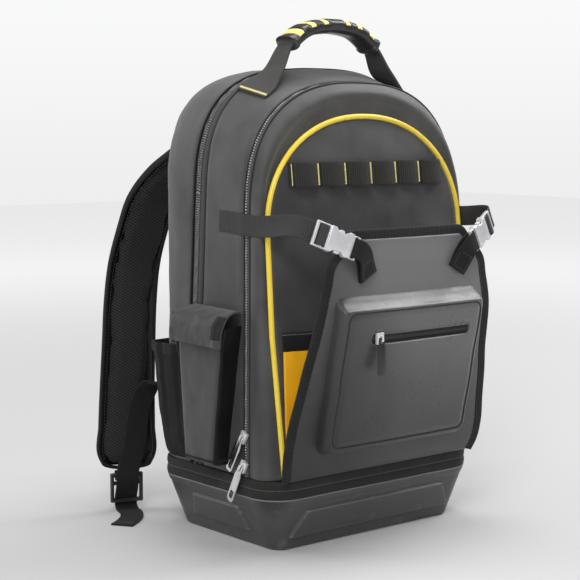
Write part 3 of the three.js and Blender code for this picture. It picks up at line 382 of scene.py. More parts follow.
@dataclass(frozen=True)
class RibbedWebbing:
    """Woven webbing with ribs across it, a fine twill in each rib, and rows of thread along it."""

    name: str
    color: Color
    shade: Color
    pitch: float = 1.7
    relief: float = 0.3
    gloss: float = 0.62
    rows: tuple[float, ...] = ()
    thread: Color = (0.3, 0.3, 0.29)
    stitch: float = 3.2
    thread_width: float = 0.55

    def make(self) -> bpy.types.Material:
        """Builds the material."""
        s = Shader(self.name)
        spot = s.object_place()
        u, v, _ = s.split(s.cloth_place())
        ribs = s.waves(u, self.pitch)
        yarn = s.waves(v, 0.9) * s.waves(u + v * 0.5, self.pitch / 2)
        fuzz = s.noise(spot, 1.1, 2)
        broad = s.noise(spot, 30, 2)
        tone = ribs * 0.45 + yarn * 0.2 + fuzz * 0.25 + broad * 0.2
        color = s.tint(tone, self.shade, self.color)
        height = ribs * 0.8 + yarn * 0.2
        for row in self.rows:
            wide = self.thread_width * MM
            near = (v - row * MM).math("ABSOLUTE").step(wide, wide * 0.4)
            mark = near * s.waves(u, self.stitch).step(0.16, 0.34)
            color = s.tint(mark, color, self.thread)
            height = height * (1.0 - near) + mark * 1.6
        normal = s.bump(height, self.relief, s.bump(fuzz, 0.12))
        return s.finish(Base_Color=color, Roughness=fuzz * 0.2 + self.gloss, Normal=normal,
                        Sheen_Weight=0.06, Sheen_Roughness=0.4, Specular_IOR_Level=0.25)


@dataclass(frozen=True)
class SmoothCoat:
    """Leather-like coated sheet: faint grain, soft sheen, handling marks, edges lighter with wear.

    The colour also grows lighter upwards by rise, and towards the pack's right side by lean. Both are
    shading of the photograph's light that stays with the object; 0 leaves them out.
    """

    name: str
    color: Color
    shade: Color
    grain: float = 1.1
    relief: float = 0.05
    gloss: float = 0.4
    rise: float = 0.0
    lean: float = 0.0

    def make(self) -> bpy.types.Material:
        """Builds the material."""
        s = Shader(self.name)
        spot = s.object_place()
        values = {"Vector": spot, "Scale": 1 / (self.grain * MM)}
        cells = s.node("ShaderNodeTexVoronoi", {"feature": "F1"}, values)
        broad = s.noise(spot, 70, 3)
        scuff = s.noise(spot, 9, 4)
        pale_tone = s.node("ShaderNodeNewGeometry", output=7).step(0.53, 0.62)
        across, _, height = s.split(spot)
        up = height.step(0.1, 0.32)
        aside = across.step(-0.115, 0.02) * self.lean * up.step(-0.5, 1.0)
        calm = clamp(1 - self.rise - self.lean * 0.6)
        marks = (broad.step(0.28, 0.75) * 0.5 + scuff * 0.25) * (calm + 0.1)
        tone = marks + pale_tone * 0.1 + aside + up * self.rise
        normal = s.bump(cells, self.relief, s.bump(broad, 1.2))
        return s.finish(Base_Color=s.tint(tone, self.shade, self.color), Normal=normal,
                        Roughness=scuff * 0.16 + broad * 0.1 + (self.gloss - 0.13),
                        Specular_IOR_Level=0.45, Sheen_Weight=0.12)


@dataclass(frozen=True)
class MouldedShell:
    """Moulded plastic or rubber: spark-eroded grain, lighter edges that are worn and carry a painted
    highlight, faint scuffs.

    The share called corner darkens the pack's upright corners, as the photograph's light does; 0 leaves
    that out.
    """

    name: str
    color: Color
    # Paler colour of worn edges and scuffs; the edges also carry a painted highlight in it, and the corners
    # are kept darker as painted shade.
    pale_tone: Color
    grain: float = 0.7
    relief: float = 0.05
    gloss: float = 0.45
    corner: float = 0.0

    def make(self) -> bpy.types.Material:
        """Builds the material."""
        s = Shader(self.name)
        spot = s.object_place()
        fine = s.noise(spot, self.grain, 2)
        scuff = s.noise(spot, 14, 5)
        broad = s.noise(spot, 80, 2)
        # Convex edges are lightened: wear, and a painted highlight along them.
        edge = s.node("ShaderNodeNewGeometry", output=7).step(0.505, 0.58)
        x, y, _ = s.split(spot)
        away = x.math("ABSOLUTE").step(0.16, 0.1) + y.math("ABSOLUTE").step(0.105, 0.05)
        shade = (away.step(0.15, 0.8) - 1.0) * self.corner
        marks = edge * 0.75 + scuff.step(0.55, 0.8) * 0.2 + broad * 0.15
        tone = (marks + self.corner + shade).step(0.0, 1.0)
        return s.finish(Base_Color=s.tint(tone, self.color, self.pale_tone),
                        Roughness=scuff * 0.2 + fine * 0.06 + (self.gloss - 0.12),
                        Normal=s.bump(fine, self.relief), Specular_IOR_Level=0.45)


@dataclass(frozen=True)
class CastMetal:
    """Satin or polished metal with brushed streaks, handling marks and bright edges."""

    name: str
    color: Color
    dull: Color
    gloss: float = 0.3
    metal: float = 1.0

    def make(self) -> bpy.types.Material:
        """Builds the material."""
        s = Shader(self.name)
        spot = s.object_place()
        smear = s.noise(spot, 6, 3)
        pits = s.noise(spot, 0.5, 2)
        edge = s.node("ShaderNodeNewGeometry", output=7).step(0.5, 0.6)
        tone = smear * 0.5 + edge * 0.5
        return s.finish(Base_Color=s.tint(tone, self.dull, self.color), Metallic=self.metal,
                        Roughness=smear * 0.14 + pits * 0.06 + (self.gloss - 0.08),
                        Normal=s.bump(pits, 0.02))


@dataclass(frozen=True)
class SpacerMesh:
    """Open spacer mesh: slanted ribs with rows of small holes between them."""

    name: str
    color: Color
    shade: Color
    pitch: float = 3.4
    laid: bool = False

    def make(self) -> bpy.types.Material:
        """Builds the material; a laid one takes height and width for its directions."""
        s = Shader(self.name)
        u, v, _ = s.split(s.cloth_place())
        if self.laid:
            x, y, u = s.split(s.object_place())
            v = x - y * 0.3
        slant = s.waves(u + v * 0.62, self.pitch)
        holes = s.waves(u * 0.62 - v, self.pitch * 0.6)
        fuzz = s.noise(s.object_place(), 1.3, 2)
        net = slant * 0.65 + holes * (1.0 - slant) * 0.35
        color = s.tint(net.step(0.05, 0.8) * 0.8 + fuzz * 0.2, self.shade, self.color)
        return s.finish(Base_Color=color, Roughness=fuzz * 0.2 + 0.68, Normal=s.bump(net, 0.9),
                        Sheen_Weight=0.05, Specular_IOR_Level=0.2)


@dataclass(frozen=True)
class CoilTape:
    """Zip coil, its tape and the welt beside it: glossy moulded loops on a matte knitted tape, with a
    painted glint in the light colour on each loop.
    """

    name: str
    color: Color
    shade: Color
    coil: float
    middle: float = 0.0
    pitch: float = 1.6
    welt: float = 0.0
    fold: float = 0.0
    cloth: Color = (0.06, 0.06, 0.06)

    def make(self) -> bpy.types.Material:
        """Builds the material."""
        s = Shader(self.name)
        u, v, _ = s.split(s.cloth_place())
        away = (v + self.middle * MM).math("ABSOLUTE")
        inside = away.step((self.coil / 2 + 0.3) * MM, (self.coil / 2 - 0.3) * MM)
        loops = s.waves(u + away * 0.4, self.pitch).step(0.45, 0.95)
        knit = s.waves(v, 1.1) * s.waves(u, 1.3)
        beside = (v - self.fold * MM).math("ABSOLUTE")
        folded = beside.step((self.welt / 2 + 0.2) * MM, (self.welt / 2 - 0.5) * MM)
        fuzz = s.noise(s.object_place(), 1.2, 2)
        # Each loop takes the light colour: a painted glint on the dark coil.
        tone = inside * loops * 0.9 + knit * (1.0 - inside) * 0.05 + fuzz * 0.06
        height = inside * loops + knit * (1.0 - inside) * 0.4
        coil = s.tint(tone, self.shade, self.color)
        return s.finish(Base_Color=s.tint(folded, coil, self.cloth), Normal=s.bump(height, 0.35),
                        Roughness=0.78 - inside * 0.42 + fuzz * 0.1, Specular_IOR_Level=0.3)


class Finish(Enum):
    """The finishes of the pack."""

    BODY = WovenCloth("body_cloth", (0.085, 0.084, 0.084), (0.03, 0.03, 0.031), gloss=0.46)
    HOLSTER = WovenCloth("holster_cloth", (0.05, 0.05, 0.052), (0.022, 0.022, 0.023), gloss=0.52)
    BELLOWS = WovenCloth("bellows_cloth", (0.016, 0.016, 0.016), (0.003, 0.003, 0.003), gloss=0.45,
                         shine=0.16, sheen=0.01)
    AMBER = WovenCloth("amber_cloth", (0.96, 0.5, 0.006), (0.85, 0.36, 0.004), relief=0.1, sheen=0.02)
    COVER = SmoothCoat("cover_coat", (0.15, 0.15, 0.153), (0.01, 0.01, 0.0105), rise=0.5, lean=0.9)
    BOX = SmoothCoat("box_coat", (0.11, 0.11, 0.113), (0.008, 0.008, 0.0085), gloss=0.3, rise=0.35, lean=1.0)
    # Near-black finish of the lines that paint the shade in seams and creases.
    CREASE = SmoothCoat("painted_crease_shade", (0.01, 0.01, 0.01), (0.004, 0.004, 0.004), gloss=0.6)
    BAND = RibbedWebbing("band_webbing", (0.034, 0.034, 0.032), (0.004, 0.004, 0.004), rows=(0.0,),
                         thread=(0.13, 0.13, 0.12))
    BLACK = RibbedWebbing("black_webbing", (0.018, 0.018, 0.018), (0.003, 0.003, 0.003))
    LOOPS = RibbedWebbing("loop_webbing", (0.045, 0.044, 0.04), (0.004, 0.004, 0.004), pitch=2.1, relief=0.5)
    HEM = RibbedWebbing("hem_webbing", (0.012, 0.012, 0.012), (0.003, 0.003, 0.003), rows=(7.0,),
                        thread=(0.16, 0.16, 0.15))
    BINDING = RibbedWebbing("grey_binding", (0.026, 0.026, 0.026), (0.006, 0.006, 0.006), pitch=2.0,
                            relief=0.4)
    STRAP = RibbedWebbing("strap_webbing", (0.075, 0.075, 0.075), (0.01, 0.01, 0.01), pitch=2.1, relief=0.4)
    HANDLE = RibbedWebbing("handle_webbing_cloth", (0.085, 0.083, 0.08), (0.03, 0.03, 0.03), pitch=1.5,
                           relief=0.2)
    TRIM = RibbedWebbing("strap_trim", (0.011, 0.011, 0.011), (0.003, 0.003, 0.003))
    THREAD = RibbedWebbing("pale_thread", (0.93, 0.84, 0.42), (0.75, 0.62, 0.2), pitch=0.9, relief=0.25)
    GREY_THREAD = RibbedWebbing("grey_thread", (0.14, 0.14, 0.14), (0.06, 0.06, 0.06), pitch=0.9, relief=0.2)
    CORDING = SmoothCoat("piping_cloth", (0.93, 0.72, 0.08), (0.85, 0.6, 0.04), gloss=0.26)
    # The light coil colours of the two long zips are painted glints on a dark coil.
    WIDE_ZIP = CoilTape("wide_zip", (0.34, 0.34, 0.34), (0.004, 0.004, 0.004), coil=7.6, middle=4.3,
                        pitch=2.6, welt=6.0, fold=4.6, cloth=(0.07, 0.07, 0.071))
    NARROW_ZIP = CoilTape("narrow_zip", (0.75, 0.75, 0.76), (0.004, 0.004, 0.004), coil=2.5, middle=2.7,
                          pitch=2.8, welt=3.7, fold=1.9, cloth=(0.08, 0.08, 0.08))
    POCKET_ZIP = CoilTape("pocket_zip_coil", (0.05, 0.05, 0.052), (0.008, 0.008, 0.008), coil=5.5)
    BASE = MouldedShell("base_shell", (0.012, 0.009, 0.008), (0.17, 0.17, 0.17), gloss=0.4, corner=0.3)
    GRIP = MouldedShell("grip_rubber", (0.024, 0.024, 0.025), (0.09, 0.09, 0.092), grain=0.5, gloss=0.28)
    LOCK = MouldedShell("lock_plastic", (0.008, 0.008, 0.0085), (0.05, 0.05, 0.05), gloss=0.34)
    RIB = MouldedShell("rib_yellow", (0.93, 0.76, 0.2), (0.95, 0.88, 0.5), gloss=0.4)
    SATIN = CastMetal("satin_metal", (0.95, 0.95, 0.99), (0.68, 0.68, 0.7), gloss=0.34, metal=0.5)
    CHROME = CastMetal("chrome_plate", (0.9, 0.9, 0.91), (0.55, 0.55, 0.56), gloss=0.14)
    MESH = SpacerMesh("spacer_mesh", (0.02, 0.02, 0.02), (0.003, 0.003, 0.003))
    MESH_PAD = SpacerMesh("strap_mesh", (0.04, 0.04, 0.04), (0.001, 0.001, 0.001), laid=True)

    def material(self) -> bpy.types.Material:
        """The finish's material, made once."""
        found = bpy.data.materials.get(self.value.name)
        return found or self.value.make()


@dataclass
class Skin:
    """How a sheet or a solid is finished off by modifiers, in millimetres."""

    wall: float = 0.0
    side: float = -1.0
    bevel: float = 0.0
    segments: int = 2
    rounds: int = 0


class Workshop:
    """Makes the pieces, dresses them and puts them on the frame."""

    def __init__(self, frame: dict) -> None:
        """Keeps the frame's nodes."""
        self.nodes = frame["nodes"]

    def grid(self, columns: int, rows: int, place: Place, size: tuple[float, float] = (100.0, 100.0),
             inside: Vector | None = None) -> bmesh.types.BMesh:
        """Sheet of cloth put in place point by point, with its UV map in metres.

        Args:
            columns: squares along it.
            rows: squares across it.
            place: point for the shares along and across, in millimetres.
            size: its length and width in millimetres; the UV map's zero across is its middle.
            inside: point behind the sheet, which its faces turn away from.

        Returns:
            The mesh.
        """
        bm = bmesh.new()
        bmesh.ops.create_grid(bm, x_segments=columns, y_segments=rows, size=0.5, calc_uvs=True)
        uv = bm.loops.layers.uv.verify()
        for face in bm.faces:
            for loop in face.loops:
                co = loop.vert.co
                loop[uv].uv = ((co.x + 0.5) * size[0] * MM, co.y * size[1] * MM)
        for vert in bm.verts:
            vert.co = place(clamp(vert.co.x + 0.5), clamp(vert.co.y + 0.5)) * MM
        bmesh.ops.remove_doubles(bm, verts=bm.verts, dist=2e-6)
        bm.normal_update()
        if inside is not None:
            middle = inside * MM
            turned = sum((f.calc_center_median() - middle).dot(f.normal) * f.calc_area() for f in bm.faces)
            if turned < 0:
                bmesh.ops.reverse_faces(bm, faces=bm.faces)
        return bm

    def close(self, bm: bmesh.types.BMesh) -> bmesh.types.BMesh:
        """Fills the open ends of a tube and turns its faces outwards."""
        bmesh.ops.holes_fill(bm, edges=bm.edges, sides=0)
        bmesh.ops.recalc_face_normals(bm, faces=bm.faces)
        return bm

    def softened(self, node: str, bevel: float, segments: int = 2, turn: float = 24.0) -> bmesh.types.BMesh:
        """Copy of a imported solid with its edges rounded.

        Args:
            node: the solid.
            bevel: width of the rounding in millimetres.
            segments: its steps.
            turn: least angle of an edge that is rounded, in degrees.

        Returns:
            The mesh.
        """
        bm = bmesh.new()
        bm.from_mesh(self.nodes[node].data)
        bmesh.ops.remove_doubles(bm, verts=bm.verts, dist=2e-6)
        bmesh.ops.dissolve_limit(bm, angle_limit=math.radians(0.6), verts=bm.verts, edges=bm.edges)
        edges = [e for e in bm.edges if e.is_manifold and abs(e.calc_face_angle(0)) > math.radians(turn)]
        bmesh.ops.bevel(bm, geom=edges, offset=bevel * MM, offset_type="OFFSET", segments=segments,
                        profile=0.5, affect="EDGES", material=-1, clamp_overlap=True)
        bmesh.ops.recalc_face_normals(bm, faces=bm.faces)
        return bm

    def piece(self, name: str, bm: bmesh.types.BMesh, finish: Finish,
              stands_for: Sequence[str] = (), skin: Skin = Skin(), sharp: float = 50.0, body: str = PACK,
              mirrored: bool = False) -> bpy.types.Object:
        """Turns a mesh into a dressed piece that rides on a body.

        Args:
            name: the piece's name.
            bm: its mesh, in metres; it is freed.
            finish: its finish.
            stands_for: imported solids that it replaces.
            skin: its modifiers.
            sharp: angle in degrees above which an edge stays sharp.
            body: body that it rides on.
            mirrored: whether it is turned to the other side of the pack first.

        Returns:
            The piece.
        """
        if mirrored:
            bmesh.ops.transform(bm, matrix=Matrix.Scale(-1, 4, Vector((1, 0, 0))), verts=bm.verts)
            bmesh.ops.reverse_faces(bm, faces=bm.faces)
        mesh = bpy.data.meshes.new(name)
        bm.to_mesh(mesh)
        bm.free()
        mesh.materials.append(finish.material())
        mesh.shade_smooth()
        mesh.set_sharp_from_angle(angle=math.radians(sharp))
        made = bpy.data.objects.new(name, mesh)
        bpy.context.scene.collection.objects.link(made)
        if skin.wall:
            wall = made.modifiers.new("wall", "SOLIDIFY")
            wall.thickness = skin.wall * MM
            wall.offset = skin.side
        if skin.bevel:
            edge = made.modifiers.new("edge", "BEVEL")
            edge.width = skin.bevel * MM
            edge.segments = skin.segments
            edge.limit_method = "ANGLE"
            edge.angle_limit = math.radians(40)
        if skin.rounds:
            fine = made.modifiers.new("fine", "SUBSURF")
            fine.levels = skin.rounds
            fine.render_levels = skin.rounds
        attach(made, body)
        if stands_for:
            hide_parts(*stands_for)
        log.info("%s: %d points", name, len(mesh.vertices))
        return made

    def rod(self, points: Sequence[Vector], across: Sequence[Vector], wide: float, thick: float,
            sides: int = 12, closed: bool = False, box: float = 1.0) -> bmesh.types.BMesh:
        """Closed bar along points, in millimetres.

        Args:
            points: its middle line.
            across: direction of its width at each point.
            wide: half its width.
            thick: half its thickness.
            sides: faces round it.
            closed: whether its ends meet.
            box: 1 for a round section, less for a boxy one.

        Returns:
            The mesh.
        """
        count = len(points)
        frames = []
        for i, point in enumerate(points):
            before = points[(i - 1) % count if closed else max(i - 1, 0)]
            after = points[(i + 1) % count if closed else min(i + 1, count - 1)]
            along = (after - before).normalized()
            side = (across[i] - along * across[i].dot(along)).normalized()
            frames.append((point, side, along.cross(side)))
        steps = count if closed else count - 1

        def place(u: float, v: float) -> Vector:
            """Point of the bar's skin."""
            at, side, up = frames[round(u * steps) % count]
            turn = 2 * math.pi * v
            c, d = math.cos(turn), math.sin(turn)
            return at + side * (wide * math.copysign(abs(c)**box, c)) + up * (
                thick * math.copysign(abs(d)**box, d))

        length = sum((b - a).length for a, b in zip(points, points[1:]))
        bm = self.grid(steps, sides, place, (length, math.pi * (wide + thick)))
        return bm if closed else self.close(bm)

    def tube(self, points: Sequence[Vector], radius: float, sides: int = 10,
             closed: bool = False) -> bmesh.types.BMesh:
        """Round bar or thread along points, in millimetres."""
        return self.rod(points, [Vector((0.13, 0.31, 0.94))] * len(points), radius, radius, sides, closed)

    def ribbon(self, stops: Sequence[Sequence[float]], columns: int, rows: int = 6,
               lift: Callable[[float, float], float] | None = None) -> bmesh.types.BMesh:
        """Webbing along stops: each gives a place, a width and the direction across it.

        Args:
            stops: rows of x, y, z, width and a direction.
            columns: squares along it.
            rows: squares across it.
            lift: height off its middle plane for the shares along and across.

        Returns:
            The mesh of its middle plane.
        """
        path = Path(stops)

        def place(u: float, v: float) -> Vector:
            """Point of the webbing's middle plane."""
            at, side, out, width = path.frame(u)
            return at + side * ((v - 0.5) * width) + out * (lift(u, v) if lift else 0.0)

        return self.grid(columns, rows, place, (path.length, max(stop[3] for stop in stops)))

    def stitches(self, name: str, lines: Sequence[Sequence[Vector]], finish: Finish, pitch: float = 3.4,
                 long: float = 2.4, thick: float = 0.42, mirrored: bool = False) -> bpy.types.Object:
        """Plump stitches along lines, as one piece.

        Args:
            name: the piece's name.
            lines: points that each row of stitches follows, in millimetres.
            finish: the thread's finish.
            pitch: from one stitch to the next.
            long: length of a stitch.
            thick: its radius.
            mirrored: whether they lie on the other side of the pack.

        Returns:
            The piece.
        """
        bm = bmesh.new()
        for line in lines:
            track = Track.through([tuple(p) for p in line])
            for i in range(int(track.length / pitch)):
                middle = (i + 0.5) * pitch
                at = Vector(track.at(middle))
                along = Vector(track.at(middle + 0.5)) - Vector(track.at(middle - 0.5))
                turn = along.to_track_quat("X", "Z").to_matrix().to_4x4()
                shape = Matrix.Translation(at * MM) @ turn @ Matrix.Diagonal(
                    (long * MM / 2, thick * MM, thick * MM, 1))
                bmesh.ops.create_icosphere(bm, subdivisions=1, radius=1.0, matrix=shape)
        return self.piece(name, bm, finish, mirrored=mirrored)


class Path:
    """Middle line of a strap, with its width and the direction across it."""

    def __init__(self, stops: Sequence[Sequence[float]]) -> None:
        """Keeps the stops as a smooth track."""
        self.track = Track.through(stops)
        self.length = self.track.length

    def frame(self, u: float) -> tuple[Vector, Vector, Vector, float]:
        """Place, direction across, direction out and width at a share of the length."""
        row = self.track.at(u * self.length)
        reach = 0.6
        ahead = self.track.at(min(u * self.length + reach, self.length))
        behind = self.track.at(max(u * self.length - reach, 0))
        along = (Vector(ahead[:3]) - Vector(behind[:3])).normalized()
        side = Vector(row[4:7])
        side = (side - along * side.dot(along)).normalized()
        return Vector(row[:3]), side, side.cross(along), row[3]

    def line(self, shares: tuple[float, float], across: float, out: float, count: int = 24) -> list[Vector]:
        """Line on the strap, for stitches and trims.

        Args:
            shares: where along the strap it starts and ends.
            across: place across it, as a share of half its width.
            out: height off its middle plane.
            count: steps.

        Returns:
            The points in millimetres.
        """
        points = []
        for i in range(count + 1):
            at, side, up, width = self.frame(mix(*shares, i / count))
            points.append(at + side * (across * width / 2) + up * out)
        return points


def rounded(points: Sequence[tuple[float, float]], radius: float,
            steps: int = 6) -> list[tuple[float, float]]:
    """Open outline with its corners rounded.

    Args:
        points: its corners.
        radius: how far from a corner the rounding starts.
        steps: points on a corner.

    Returns:
        The finer outline.
    """
    line = [points[0]]
    for before, corner, after in zip(points, points[1:], points[2:]):
        at = Vector(corner)
        start = at + (Vector(before) - at).normalized() * min(radius, (Vector(before) - at).length / 2)
        end = at + (Vector(after) - at).normalized() * min(radius, (Vector(after) - at).length / 2)
        for i in range(steps + 1):
            t = i / steps
            spot = start.lerp(at, t).lerp(at.lerp(end, t), t)
            line.append((spot.x, spot.y))
    line.append(points[-1])
    return line


def along_line(points: Sequence[Sequence[float]], share: float) -> list[float]:
    """Point at a share of a polyline's length.

    Args:
        points: the polyline.
        share: from 0 to 1.

    Returns:
        The point.
    """
    lengths = [0.0]
    for a, b in zip(points, points[1:]):
        lengths.append(lengths[-1] + (Vector(b) - Vector(a)).length)
    want = clamp(share) * lengths[-1]
    for i in range(len(points) - 1):
        if want <= lengths[i + 1] or i == len(points) - 2:
            span = lengths[i + 1] - lengths[i]
            t = (want - lengths[i]) / span if span else 0.0
            return [mix(p, q, t) for p, q in zip(points[i], points[i + 1])]
    return list(points[-1])


@dataclass(frozen=True)
class Section:
    """Arched section of the body, as in the solids: shares of its half depth, half width and height."""

    reach: float
    wide: float
    inset: float
    shoulder: float
    top: float
    power: float
    lean: float = 0.0
    sweep: float = 0.0

    def toward(self, other: "Section", share: float) -> "Section":
        """Section between this one and another."""
        return Section(*[mix(a, b, share) for a, b in zip(vars(self).values(), vars(other).values())])


class BodyForm:
    """Shape of the body that its cloth, zips and pockets follow."""

    half_width: float = 150.0
    half_depth: float = 103.5
    height: float = 503.0
    seam: float = 78.6
    corner: float = 35.0
    knee: float = 251.5
    piping: float = 3.0
    gap: float = 0.3
    zip_rise: float = 1.2
    side_share: float = 0.62

    back_edge = Section(0.93, 0.8, 16, 0.735, 0.958, 2.8)
    back_round = Section(0.875, 0.91, 4, 0.735, 0.984, 2.8)
    rear_side = Section(0.66, 0.975, 1.5, 0.735, 0.996, 2.8)
    rear_zip_back = Section(0.367, 0.985, 1.5, 0.735, 1, 2.8, 0, 0.15)
    rear_zip_front = Section(0.155, 0.985, 1.5, 0.735, 1, 2.8, 0, 0.15)
    front_zip_back = Section(-0.53, 0.98, 1.5, 0.696, 0.97, 2.5)
    front_zip_front = Section(-0.62, 0.98, 1.5, 0.696, 0.968, 2.5)
    front_round = Section(-0.8, 0.965, 2, 0.68, 0.948, 2.35, 0.03)
    pipe_line = Section(-0.957, 0.92, 2.6, 0.656, 0.897, 2.15, 0.068)

    def band_half(self, y: float) -> float:
        """Half width of the band's outer outline at a depth."""
        past = abs(y) - (self.half_depth - self.corner)
        if past <= 0:
            return self.half_width
        return self.half_width - self.corner + math.sqrt(max(self.corner**2 - past**2, 0))

    def depth(self, s: Section, z: float) -> float:
        """Place of a section along Y at a height."""
        past = max(0.0, (z - self.knee) / (self.height - self.knee))
        return s.reach * self.half_depth + s.lean * (z - self.seam) - s.sweep * self.half_depth * past

    def half(self, s: Section, z: float, inset: float = 0.0) -> float:
        """Half width of a section at a height, inset in its plane."""
        shoulder = s.shoulder * self.height
        full = s.wide * self.half_width - inset
        if z <= shoulder:
            rise = min((z - self.seam) / (shoulder - self.seam) / 0.6, 1)
            foot = self.band_half(s.reach * self.half_depth) - s.inset - inset
            return mix(foot, full, rise)
        arch = s.top * self.height - shoulder - inset
        share = min((z - shoulder) / arch, 1)
        return full * (1 - share**s.power) ** (1 / s.power)

    def outline(self, s: Section, t: float, inset: float = 0.0) -> Vector:
        """Point of a section.

        Args:
            s: the section.
            t: share from its left foot over the arch to its right foot.
            inset: how far inside the section's line.

        Returns:
            The point in millimetres.
        """
        near = 2 * min(t, 1 - t)
        shoulder = s.shoulder * self.height
        if near <= self.side_share:
            z = mix(self.seam, shoulder, near / self.side_share)
            x = self.half(s, z, inset)
        else:
            turn = (near - self.side_share) / (1 - self.side_share) * math.pi / 2
            arch = s.top * self.height - shoulder - inset
            x = (s.wide * self.half_width - inset) * max(math.cos(turn), 0) ** (2 / s.power)
            z = shoulder + arch * math.sin(turn) ** (2 / s.power)
        return Vector((-x if t < 0.5 else x, self.depth(s, z), z))

    def even_shares(self, s: Section, count: int = 600) -> Track:
        """Track from a share of a section's length to its parameter."""
        points = [self.outline(s, i / count) for i in range(count + 1)]
        lengths = [0.0]
        for a, b in zip(points, points[1:]):
            lengths.append(lengths[-1] + (b - a).length)
        kept = range(0, count + 1, 4)
        return Track([lengths[i] / lengths[-1] for i in kept], [[i / count] for i in kept], lengths[-1])

    def even_line(self, s: Section, count: int, shift: float = 0.0) -> list[Vector]:
        """Evenly spaced points along a section, shifted along Y."""
        shares = self.even_shares(s)
        return [self.outline(s, clamp(shares.at(i / count)[0])) + Vector((0, shift, 0))
                for i in range(count + 1)]

    def side_face(self, y: float, z: float) -> float:
        """Outer half width of the body's side at a depth and height."""
        crest = 0.4
        rows = []
        for s, rise in ((self.front_round, 0), (self.front_zip_front, 0),
                        (self.front_zip_back.toward(self.front_zip_front, crest), self.zip_rise),
                        (self.front_zip_back, 0), (self.rear_zip_front, 0),
                        (self.rear_zip_back.toward(self.rear_zip_front, crest), self.zip_rise),
                        (self.rear_zip_back, 0), (self.rear_side, 0), (self.back_round, 0),
                        (self.back_edge, 0)):
            rows.append((self.depth(s, z), self.half(s, z) + rise))
        for (y0, w0), (y1, w1) in zip(rows, rows[1:]):
            if y <= y1:
                return mix(w0, w1, clamp((y - y0) / (y1 - y0)))
        return rows[-1][1]

    def panel_face(self, x: float, z: float) -> float:
        """Place along Y of the front panel's face."""
        across = min(abs(x) / max(self.half(self.pipe_line, z), 1), 1)
        up = (z - self.seam) / (self.pipe_line.top * self.height - self.seam)
        swell = max(0.0, 1 - (2 * up - 1) ** 4)
        return self.depth(self.pipe_line, z) - 6 * (1 - across**2) * swell


FORM = BodyForm()
MIDDLE = Vector((0, 0, 250))


